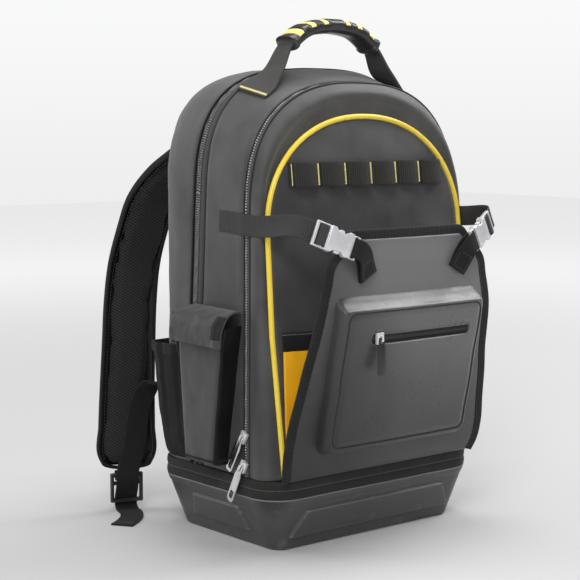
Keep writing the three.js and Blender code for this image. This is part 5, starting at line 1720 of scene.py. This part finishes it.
@dataclass
class SidePockets:
    """Holster pocket with its flap, and the open bellows pocket behind it, on the left side."""

    low: float = 90.0
    high: float = 236.0
    depth: float = 33.0
    back: float = 18.0
    front: float = -66.0
    seat: float = 0.7
    flap_high: float = 252.0
    flap_low: float = 218.0
    flap_reach: float = 35.5
    pocket_low: float = 82.0
    pocket_hem: float = 208.0
    pocket_front: float = 21.0
    pocket_back: float = 90.0
    pocket_bulge: float = 22.0
    slant: float = 0.3
    turn: float = 0.755
    flap_rows: tuple = ((0, 0), (0.4, -0.02), (0.8, 0.1), (1.03, 0.32), (1.1, 0.62), (1.12, 1))
    bellows: tuple = ((0, 0), (0.1, 0.5), (0.3, 0.82), (0.52, 0.95), (0.74, 1.1), (0.9, 1.1), (0.97, 0.8),
                      (1, 0))

    @cached_property
    def flap_track(self) -> Track:
        """Reach and drop of the flap, along it."""
        return Track.through(self.flap_rows, 2)

    @cached_property
    def bellows_track(self) -> Track:
        """Bulge of the bellows pocket, from its front to its back."""
        return Track([row[0] for row in self.bellows], [[row[1]] for row in self.bellows])

    def build(self, shop: Workshop) -> None:
        """Makes both pockets."""
        self.holster(shop)
        self.flap(shop)
        self.pocket(shop)

    def wall(self, u: float, share: float, pulled: float = 1.0, out: float = 0.0) -> Vector:
        """Point of the holster's outer face.

        Args:
            u: share of the way round it, from its back edge to its front edge.
            share: height as a share.
            pulled: how far out it is pulled, for its floor.
            out: height off the face.

        Returns:
            The point.
        """
        z = mix(self.low, self.high, share)
        depth = self.depth * mix(0.72, 1, share)
        front = mix(self.front * 0.52, self.front, share)
        root = mix(self.front * 0.43, self.front * 0.78, share)
        line = rounded([(0, self.back), (depth, self.back), (depth, front), (0, root)], 7)
        reach, y = along_line(line, u)
        swell = self.puff(u, share)
        return Vector((-FORM.side_face(y, z) - self.seat - (reach + swell + out) * pulled, y, z))

    def puff(self, u: float, share: float) -> float:
        """Uneven swell of the holster's cloth."""
        face = smooth(u, 0.2, 0.32) * smooth(0.82 - u, 0, 0.12)
        spot = Vector((u * 150, share * 146, 5))
        return face * (1.1 * math.sin(math.pi * share) + rumple(spot, 30, 0.9)) + rumple(spot, 13, 0.3)

    def holster(self, shop: Workshop) -> None:
        """Box of the holster, open at its top."""
        floor = 0.06

        def place(u: float, v: float) -> Vector:
            """Point of the holster."""
            if v < floor:
                return self.wall(u, 0, v / floor)
            return self.wall(u, (v - floor) / (1 - floor))

        middle = Vector((-140, -10, 160))
        bm = shop.grid(90, 70, lambda u, v: place(u * self.turn, v), (120, 146), middle)
        shop.piece("holster", bm, Finish.HOLSTER, ["holster_box"], Skin(wall=1.9, bevel=0.4))
        bm = shop.grid(40, 70, lambda u, v: place(mix(self.turn, 1, u), v), (34, 146), middle)
        shop.piece("holster_end", bm, Finish.BELLOWS, ["holster_box"], Skin(wall=1.9, bevel=0.4))
        # The black rod along the holster's foot paints the shadow under its bottom edge.
        foot = [self.wall(mix(0.2, 0.97, i / 40), 0.022, 1, 0.45) for i in range(41)]
        edge = [self.wall(self.turn - 0.02, mix(0.02, 0.99, i / 40), 1, 0.4) for i in range(41)]
        across = [Vector((0, 0, 1))] * 41
        shop.piece("holster_foot_shade", shop.rod(foot, across, 1.4, 0.6, 8), Finish.BLACK)
        shop.stitches("holster_stitches", [edge], Finish.GREY_THREAD, 3.2, 2.3, 0.28)

    def flap_place(self, u: float, y: float, out: float = 0.0) -> Vector:
        """Point of the flap's outer face.

        Args:
            u: share of the way down it.
            y: share of its width, from its back edge to its front edge.
            out: height off it.

        Returns:
            The point.
        """
        reach, down = self.flap_track.at(u * self.flap_track.length)
        z = mix(self.flap_high, self.flap_low, down)
        edge = mix(self.front * 0.82, self.front - 2, clamp(reach))
        at_y = mix(self.back - 1, edge, y)
        fold = rumple(Vector((u * 70, y * 85, 2)), 17, 1.6) + rumple(Vector((u * 70, y * 85, 8)), 8, 0.5)
        calm = smooth(u, 0.1, 0.4)
        reach = self.seat + reach * self.flap_reach + fold * calm + out
        z += (0.5 - y) * 1.5 + fold * 0.4
        return Vector((-FORM.side_face(at_y, self.flap_high) - reach, at_y, z))

    def flap(self, shop: Workshop) -> None:
        """Flap over the holster with the webbing patch at its front end."""
        def place(u: float, v: float) -> Vector:
            """Point of the flap."""
            return self.flap_place(u, v, 2.2)

        bm = shop.grid(60, 60, place, (70, 84), Vector((-150, -25, 215)))
        shop.piece("holster_cover", bm, Finish.HOLSTER, ["holster_flap"],
                   Skin(wall=2.2, bevel=0.6))

        def patch(u: float, v: float) -> Vector:
            """Point of the patch."""
            return self.flap_place(mix(0.42, 0.86, v), mix(0.83, 1.0, u), 3.4)

        bm = shop.grid(24, 30, patch, (14, 30), Vector((-150, -25, 215)))
        shop.piece("holster_cover_patch", bm, Finish.BLACK, ["holster_patch"],
                   Skin(wall=1.2, bevel=0.4))
        hem = [self.flap_place(0.95, mix(0.04, 0.96, i / 40), 2.35) for i in range(41)]
        shop.stitches("holster_cover_stitches", [hem], Finish.GREY_THREAD, 3.2, 2.3, 0.28)

    def pocket_top(self, u: float) -> float:
        """Height of the bellows pocket's edge."""
        return mix(self.flap_high - 1, self.pocket_hem, min(u / self.slant, 1))

    def pocket_place(self, u: float, z: float, out: float = 0.0) -> Vector:
        """Point of the bellows pocket's face."""
        y = mix(self.pocket_front, self.pocket_back, u)
        up = clamp((z - self.pocket_low) / (self.pocket_hem - self.pocket_low))
        rise = mix(0.12, 1, up**0.6)
        bulge = self.bellows_track.at(u)[0]
        pleat = 2.6 * math.exp(-(((u - 0.3) / 0.05) ** 2)) + 2.2 * math.exp(-(((u - 0.6) / 0.05) ** 2))
        sag = rumple(Vector((0, y, z)), 24, 1.6, 6)
        swell = max(bulge * rise * self.pocket_bulge + (sag - pleat * up) * smooth(u, 0.02, 0.2)
                    * smooth(1 - u, 0.0, 0.12), 0.0)
        return Vector((-FORM.side_face(y, z) - self.seat - swell - out, y, z))

    def pocket(self, shop: Workshop) -> None:
        """Bellows pocket with its slanted binding, its hem and the cord loop inside it."""
        band = 12.0
        middle = Vector((-140, 55, 150))

        def cloth(u: float, v: float) -> Vector:
            """Point of the pocket."""
            return self.pocket_place(u, mix(self.pocket_low, self.pocket_top(u) - band + 1, v))

        shop.piece("bellows_pocket", shop.grid(90, 70, cloth, (110, 126), middle), Finish.BELLOWS,
                   ["side_pocket"], Skin(wall=1.8))

        def strip(low: float, high: float) -> Place:
            """Place function of a stretch of the pocket's edge."""
            def place(u: float, v: float) -> Vector:
                """Point of the edge."""
                share = mix(low, high, u)
                return self.pocket_place(share, self.pocket_top(share) - band * (1 - v), 0.6)
            return place

        shop.piece("bellows_slant", shop.grid(40, 8, strip(0, self.slant), (50, band), middle),
                   Finish.BLACK, ["side_pocket_binding"], Skin(wall=2.4, bevel=0.5))
        shop.piece("bellows_hem", shop.grid(80, 8, strip(self.slant, 1), (75, band), middle),
                   Finish.BLACK, ["side_pocket_hem"], Skin(wall=2.4, bevel=0.5))
        loop = []
        for i in range(21):
            turn = math.pi * i / 20
            y = 62 + 8 * math.cos(turn)
            z = 206 + 13 * math.sin(turn)
            loop.append(Vector((-FORM.side_face(y, z) - 2.6 - 2 * math.sin(turn), y, z)))
        shop.piece("pocket_cord_loop", shop.tube(loop, 1.3, 8), Finish.GREY_THREAD)


@dataclass
class ZipPulls:
    """The two sliders of the front zip with their hinged pulls."""

    bevel: float = 0.45

    def build(self, shop: Workshop) -> None:
        """Makes both."""
        for place in ("upper", "lower"):
            slider, pull = f"slider_{place}", f"pull_{place}"
            shop.piece(f"zip_{slider}", shop.softened(slider, self.bevel), Finish.SATIN, [slider])
            shop.piece(f"zip_{pull}", shop.softened(pull, self.bevel), Finish.CHROME, [pull],
                       body=f"{place}_pull")


@dataclass
class Handle:
    """Carry handle: webbing sewn on the body, a rubber grip and its yellow ribs."""

    left: tuple = ((-108, -18, 475.4, 42, 0, 42, 15.95), (-97.2, -18, 482.8, 42, 0, 42, 14.94),
                   (-78, -18, 499.9, 33.6, 0, 42, 0), (-60, -18, 527.4, 23.9, 0, 42, 0),
                   (-43.2, -18, 539.8, 23.9, 0, 42, 0), (-21.6, -18, 546.6, 23.9, 0, 42, 0))
    top: tuple = (0, -18, 548, 23.9, 0, 42, 0)
    grip_half: float = 60.0
    grip_wide: float = 31.0
    grip_thick: float = 16.0
    rib_long: float = 6.4
    ribs: tuple = (-0.82, -0.54, -0.26, 0.26, 0.54, 0.82)

    @cached_property
    def arch(self) -> Track:
        """Height of the grip's middle line for a place along it."""
        stops = [stop for stop in self.stops() if abs(stop[0]) <= self.grip_half]
        return Track([stop[0] for stop in stops], [[stop[2]] for stop in stops])

    def stops(self) -> list[tuple[float, ...]]:
        """Stops from the left anchor over the top to the right one."""
        right = [(-x, y, z, w, a, b, c) for x, y, z, w, a, b, c in reversed(self.left)]
        return [*self.left, self.top, *right]

    def build(self, shop: Workshop) -> None:
        """Makes the webbing, its stitches, the grip and its ribs."""
        shop.piece("handle_strap", shop.ribbon(self.stops(), 220, 10), Finish.HANDLE,
                   ["handle_webbing"], Skin(wall=2.9, side=0, bevel=0.6))
        path = Path(self.stops())
        rows = []
        for at in (0.008, 0.0125, 0.992, 0.9875):
            spot, wide, up, width = path.frame(at)
            rows += [[spot + wide * (width * t) + up * (sign * 1.7) for t in (-0.48, -0.2, 0, 0.2, 0.48)]
                     for sign in (-1, 1)]
        shop.stitches("handle_stitches", rows, Finish.THREAD, 2.4, 2.6, 0.85)
        self.grip(shop)

    def surface(self, x: float, turn: float, out: float = 0.0) -> Vector:
        """Point of the grip.

        Args:
            x: share of half its length, from -1 to 1.
            turn: angle round it, 0 at its top.
            out: height off it.

        Returns:
            The point.
        """
        at = x * self.grip_half
        z = self.arch.at(at)[0]
        slope = (self.arch.at(at + 1)[0] - self.arch.at(at - 1)[0]) / 2
        up = Vector((-slope, 0, 1)).normalized()
        wide, thick = self.grip_wide / 2 + out, self.grip_thick / 2 + out
        c, d = math.cos(turn), math.sin(turn)
        finger = 1.0 - 0.06 * (c < 0) * (1 + math.cos(x * math.pi * 4)) / 2
        box = 0.72
        side = wide * math.copysign(abs(d)**box, d)
        high = thick * math.copysign(abs(c)**box, c) * finger
        return Vector((at, -18 + side, z)) + up * high

    def grip(self, shop: Workshop) -> None:
        """Rubber grip with its moulding lines, and the ribs let into it."""
        def place(u: float, v: float) -> Vector:
            """Point of the grip."""
            x = 2 * u - 1
            turn = 2 * math.pi * v
            plate = smooth(0.17 - abs(x), -0.015, 0.015) * (math.cos(turn) > 0.1)
            line = 0.9 * math.exp(-(((math.cos(turn) + 0.2) / 0.05) ** 2))
            near = min(abs(x - rib) for rib in self.ribs)
            seat = 0.9 * smooth(0.075 - near, -0.01, 0.01) * (math.cos(turn) > -0.1)
            collar = 1.3 * smooth(abs(x), 0.93, 0.95) - 1.2 * smooth(abs(x), 0.985, 1.0)
            return self.surface(x, turn, 0.5 * plate - line - seat + collar)

        bm = shop.close(shop.grid(220, 48, place, (124, 90)))
        shop.piece("grip", bm, Finish.GRIP, ["handle_grip"])
        for i, rib in enumerate(self.ribs):
            def band(u: float, v: float) -> Vector:
                """Point of the rib."""
                x = rib + (u - 0.5) * self.rib_long / self.grip_half
                turn = mix(-1.42, 1.42, v)
                crown = 0.5 * math.sin(math.pi * clamp(u)) ** 0.5
                return self.surface(x, turn, crown - 0.55)

            bm = shop.grid(8, 36, band, (6, 50), Vector((rib * 60, -18, 535)))
            shop.piece(f"grip_band_{i + 1}", bm, Finish.RIB, [f"grip_rib_{i + 1}"],
                       Skin(wall=2.0, bevel=0.4))


@dataclass
class ShoulderStraps:
    """Padded shoulder straps with their trims, loops, ladder locks and lower webbing."""

    cap: float = 4.2
    pressure: float = 4.0
    frames: int = 20
    voxel: float = 4.5
    pad: tuple = ((-60, 109.4, 465.8, 48.4, 1, 0, 0), (-60.8, 109.8, 446.2, 49.6, 1, 0, 0),
                  (-66, 122.4, 424, 52.7, 1, 0, 0), (-78, 144.8, 400.9, 57, 1, -0.02, 0),
                  (-92, 160, 380.8, 59.5, 1, -0.03, 0), (-103.9, 172, 355.1, 62, 1, -0.07, 0),
                  (-114, 177.6, 320.9, 62, 0.99, -0.12, 0), (-121.9, 182.4, 284.2, 62, 0.98, -0.17, 0),
                  (-130.1, 179.6, 239.9, 62, 0.97, -0.23, 0), (-136.1, 174.8, 194.2, 62, 0.96, -0.28, 0),
                  (-140, 172.8, 145.9, 63.2, 0.95, -0.31, 0), (-142.9, 170.8, 98.1, 65.1, 0.94, -0.34, 0),
                  (-145, 168.8, 61.9, 65.1, 0.94, -0.34, 0), (-145.9, 168, 47.8, 49.6, 0.94, -0.34, 0))
    loop: tuple = ((-147.2, 164.5, 45.8), (-147.3, 164.4, 38.6), (-146.7, 165.9, 36), (-145.2, 170.1, 36),
                   (-144.6, 171.7, 38.6), (-144.7, 171.5, 45.8))
    lower: tuple = ((-100.1, 103.7, 82, 26, 1, 0, 0), (-101, 103.8, 109.7, 26, 1, -0.04, 0),
                    (-106, 110, 133.8, 26, 1, -0.09, 0), (-116, 126, 149.9, 26, 0.99, -0.13, 0),
                    (-127, 142, 147.9, 26, 0.98, -0.17, 0), (-133.9, 150, 131.8, 26, 0.98, -0.22, 0),
                    (-138, 156, 105.1, 26, 0.97, -0.26, 0), (-140.3, 158.4, 74.9, 26, 0.95, -0.3, 0),
                    (-148.4, 161.2, 45, 26, 0.94, -0.34, 0), (-148.2, 161.9, 36.2, 26, 0.94, -0.34, 0),
                    (-147.5, 163.7, 31.4, 26, 0.94, -0.34, 0), (-146.8, 165.6, 26, 26, 0.94, -0.34, 0),
                    (-144.8, 171.1, 15.8, 26, 0.94, -0.34, 0), (-144.3, 172.5, 12.4, 26, 0.94, -0.34, 0),
                    (-144.3, 172.5, 7.3, 26, 0.94, -0.34, 0), (-144.8, 171.1, 3.9, 26, 0.94, -0.34, 0),
                    (-146.3, 167, 1.7, 26, 0.94, -0.34, 0), (-153, 148.6, 1.2, 26, 0.94, -0.34, 0),
                    (-163.2, 132, 1.2, 26, 0.85, -0.52, 0), (-177.2, 118.4, 1.2, 26, 0.7, -0.72, 0),
                    (-193.3, 107.4, 1.2, 26, 0.57, -0.82, 0))

    def build(self, shop: Workshop) -> None:
        """Makes both straps; the right one mirrors the left."""
        path = Path(self.pad)
        core = self.core(shop, path)
        for side, mirrored in (("left", False), ("right", True)):
            bm = bmesh.new()
            bm.from_mesh(core)
            pad = shop.piece(f"strap_pad_{side}", bm, Finish.MESH_PAD, [f"shoulder_strap_{side}"],
                             Skin(rounds=1), mirrored=mirrored)
            self.trims(shop, path, side, mirrored)
            self.webbing(shop, side, mirrored)
        bpy.data.meshes.remove(core)

    def core(self, shop: Workshop, path: Path) -> bpy.types.Mesh:
        """Padding of the left strap, swollen as cloth under pressure.

        Args:
            shop: the workshop.
            path: the strap's middle line.

        Returns:
            The padding's mesh, in metres.
        """
        def place(u: float, v: float) -> Vector:
            """Point of the padding before it swells."""
            at, side, out, width = path.frame(u)
            turn = 2 * math.pi * v
            c, d = math.cos(turn), math.sin(turn)
            end = math.sqrt(clamp(min(u, 1 - u) / 0.02 + 0.1))
            wide = width / 2 * min(end, 1) - 2.4
            return at + side * (wide * math.copysign(abs(c)**0.55, c)) + out * (
                3.4 * min(end, 1) * math.copysign(abs(d)**0.7, d))

        bm = shop.close(shop.grid(110, 28, place))
        mesh = bpy.data.meshes.new("strap_core")
        bm.to_mesh(mesh)
        bm.free()
        return self.swell(mesh)

    def swell(self, mesh: bpy.types.Mesh) -> bpy.types.Mesh:
        """Remeshes a closed form and lets it swell as cloth, by no more than the cap."""
        scene = bpy.context.scene
        work = bpy.data.objects.new("strap_core", mesh)
        scene.collection.objects.link(work)
        remesh = work.modifiers.new("remesh", "REMESH")
        remesh.mode = "VOXEL"
        remesh.voxel_size = self.voxel * MM
        even = bpy.data.meshes.new_from_object(work.evaluated_get(bpy.context.evaluated_depsgraph_get()))
        work.modifiers.clear()
        work.data = even
        start = [vert.co.copy() for vert in even.vertices]
        cloth = work.modifiers.new("cloth", "CLOTH")
        cloth.settings.use_pressure = True
        cloth.settings.uniform_pressure_force = self.pressure
        cloth.settings.effector_weights.gravity = 0.0
        cloth.settings.quality = 5
        cloth.point_cache.frame_start = 1
        cloth.point_cache.frame_end = self.frames
        for number in range(1, self.frames + 1):
            scene.frame_set(number)
        swollen = bpy.data.meshes.new_from_object(work.evaluated_get(bpy.context.evaluated_depsgraph_get()))
        for vert, rest in zip(swollen.vertices, start):
            move = vert.co - rest
            if move.length > self.cap * MM:
                vert.co = rest + move.normalized() * (self.cap * MM)
        scene.frame_set(1)
        bpy.data.objects.remove(work)
        bpy.data.meshes.remove(mesh)
        bpy.data.meshes.remove(even)
        return swollen

    def trims(self, shop: Workshop, path: Path, side: str, mirrored: bool) -> None:
        """Cloth on the outer face, and bound edges with stitches."""
        def outer(u: float, v: float) -> Vector:
            """Point of the outer face."""
            at, wide, out, width = path.frame(mix(0.012, 0.992, u))
            crown = math.sin(math.pi * clamp(v)) ** 0.25
            return at + wide * ((v - 0.5) * (width - 3)) + out * (0.8 + 7.9 * crown)

        cloth = shop.grid(120, 16, outer, (450, 60))
        shop.piece(f"strap_face_{side}", cloth, Finish.BELLOWS, skin=Skin(wall=1.2, side=0),
                   mirrored=mirrored)
        line, across = [], []
        for i in range(141):
            at, wide, out, width = path.frame(mix(0.004, 0.985, i / 140))
            line.append(at + wide * (-width / 2 + 1.5))
            across.append(out)
        for i in range(1, 16):
            turn = math.pi * i / 16
            at, wide, out, width = path.frame(0.985)
            down = out.cross(wide).normalized()
            down = down if down.z < 0 else -down
            line.append(at - wide * ((width / 2 - 1.5) * math.cos(turn)) + down * (5.5 * math.sin(turn)))
            across.append(out)
        for i in range(140, -1, -1):
            at, wide, out, width = path.frame(mix(0.004, 0.985, i / 140))
            line.append(at + wide * (width / 2 - 1.5))
            across.append(out)
        shop.piece(f"strap_trim_{side}", shop.rod(line, across, 4.6, 2.0, 12, box=0.7), Finish.TRIM,
                   mirrored=mirrored)
        rows = [path.line((0.02, 0.98), across, sign * 5.0, 90) for across in (-0.85, 0.85)
                for sign in (-1, 1)]
        shop.stitches(f"strap_stitches_{side}", rows, Finish.GREY_THREAD, 3.6, 2.2, 0.35, mirrored=mirrored)

    def webbing(self, shop: Workshop, side: str, mirrored: bool) -> None:
        """Loop, ladder lock and lower webbing with its free tail."""
        loop = [(*p, 26, 0.94, -0.34, 0) for p in self.loop]
        shop.piece(f"lock_loop_{side}", shop.ribbon(loop, 50, 6), Finish.BLACK,
                   [f"strap_loop_{side}"], Skin(wall=1.7, side=0, bevel=0.3), mirrored=mirrored)
        shop.piece(f"lower_strap_{side}", shop.ribbon(self.lower, 320, 8), Finish.BLACK,
                   [f"lower_webbing_{side}"], Skin(wall=1.7, side=0, bevel=0.3), mirrored=mirrored)
        node = f"ladder_lock_{side}"
        shop.piece(f"moulded_{node}", shop.softened(node, 1.1, 3, 20), Finish.LOCK, [node])
        path = Path(self.lower)
        hem = []
        for at in (0.962, 0.975):
            spot, wide, up, width = path.frame(at)
            for sign in (-1, 1):
                off = spot + up * (sign * 1.1)
                hem.append([off + wide * (width * t) for t in (-0.44, -0.2, 0, 0.2, 0.44)])
        shop.stitches(f"tail_stitches_{side}", hem, Finish.GREY_THREAD, 3.0, 2.2, 0.4, mirrored=mirrored)


class Stage:
    """Floor, light and camera."""

    camera_at: Vector = Vector((-1123.25, -1301.32, 445.81))
    azimuth: float = -39.77
    pitch: float = 6.21
    focal: float = 1549.0
    frame_px: float = 580.0
    sensor: float = 36.0
    fill: float = 0.2
    backdrop: float = 0.95
    floor_half: float = 6.0

    def build(self) -> None:
        """Sets up the studio."""
        self.floor()
        self.lights()
        self.camera()

    def floor(self) -> None:
        """Pale flat floor, lit up a little from within far from the pack, to meet the backdrop."""
        bm = bmesh.new()
        bmesh.ops.create_grid(bm, x_segments=4, y_segments=40, size=self.floor_half)
        mesh = bpy.data.meshes.new("studio_floor")
        bm.to_mesh(mesh)
        bm.free()
        s = Shader("studio_floor_paper")
        spot = s.object_place()
        haze = s.noise(spot, 900, 2)
        x, y, _ = s.split(spot)
        far = (x * x + y * y).math("SQRT").step(0.3, 3.3)
        mesh.materials.append(s.finish(Base_Color=s.tint(haze, (0.55, 0.55, 0.55), (0.58, 0.58, 0.585)),
                                       Roughness=0.75, Specular_IOR_Level=0.2, Emission_Strength=1.0,
                                       Emission_Color=s.tint(far, (0.02, 0.02, 0.02), (0.68, 0.68, 0.683))))
        floor = bpy.data.objects.new("studio_floor", mesh)
        bpy.context.scene.collection.objects.link(floor)

    def lights(self) -> None:
        """Large soft lamps and a pale surround that grows lighter upwards."""
        world = bpy.data.worlds.new("studio")
        world.use_nodes = True
        tree = world.node_tree
        seen = tree.nodes.new("ShaderNodeLightPath")
        light = tree.nodes.new("ShaderNodeMix")
        light.inputs["A"].default_value = self.fill
        light.inputs["B"].default_value = self.backdrop
        tree.links.new(seen.outputs["Is Camera Ray"], light.inputs["Factor"])
        tree.links.new(light.outputs["Result"], tree.nodes["Background"].inputs["Strength"])
        place = tree.nodes.new("ShaderNodeTexCoord")
        split = tree.nodes.new("ShaderNodeSeparateXYZ")
        tree.links.new(place.outputs["Generated"], split.inputs[0])
        rise = tree.nodes.new("ShaderNodeMapRange")
        rise.interpolation_type = "SMOOTHSTEP"
        rise.inputs["From Min"].default_value = -0.06
        rise.inputs["From Max"].default_value = 0.08
        tree.links.new(split.outputs["Z"], rise.inputs["Value"])
        sky = tree.nodes.new("ShaderNodeMix")
        sky.data_type = "RGBA"
        sky.inputs["A"].default_value = (0.9, 0.901, 0.903, 1)
        sky.inputs["B"].default_value = (0.995, 0.997, 1.0, 1)
        tree.links.new(rise.outputs["Result"], sky.inputs["Factor"])
        tree.links.new(sky.outputs["Result"], tree.nodes["Background"].inputs["Color"])
        bpy.context.scene.world = world
        bpy.context.scene.view_settings.view_transform = "Standard"
        lamps = (("key", (-1.7, -1.5, 2.1), 1.0, 34), ("side", (1.5, -0.4, 1.9), 1.1, 28),
                 ("top", (0.1, 0.1, 2.4), 1.2, 30), ("rear", (-1.6, 1.6, 1.4), 1.0, 14),
                 ("low", (-1.6, -1.7, 0.7), 0.6, 9))
        for name, at, size, power in lamps:
            data = bpy.data.lights.new(name, "AREA")
            data.size = size
            data.energy = power
            lamp = bpy.data.objects.new(name, data)
            lamp.location = at
            lamp.rotation_euler = (Vector((0, 0, 0.25)) - lamp.location).to_track_quat("-Z", "Y").to_euler()
            bpy.context.scene.collection.objects.link(lamp)

    def camera(self) -> None:
        """Camera at the photograph's place."""
        data = bpy.data.cameras.new("camera")
        data.sensor_width = self.sensor
        data.lens = self.focal / self.frame_px * self.sensor
        data.clip_end = 30
        camera = bpy.data.objects.new("camera", data)
        turn, dip = math.radians(self.azimuth), math.radians(self.pitch)
        ahead = Vector((-math.sin(turn) * math.cos(dip), math.cos(turn) * math.cos(dip), -math.sin(dip)))
        camera.location = self.camera_at * MM
        camera.rotation_euler = ahead.to_track_quat("-Z", "Y").to_euler()
        bpy.context.scene.collection.objects.link(camera)
        bpy.context.scene.camera = camera


def main() -> None:
    """Builds the studio and dresses the pack."""
    logging.basicConfig(level=logging.INFO)
    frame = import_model()
    Stage().build()
    shop = Workshop(frame)
    for part in (Base(), Shell(), ToolLoops(), InnerPocket(), Cover(), SideStraps(), SidePockets(),
                 ZipPulls(), Handle(), ShoulderStraps()):
        part.build(shop)


if __name__ == "__main__":
    main()
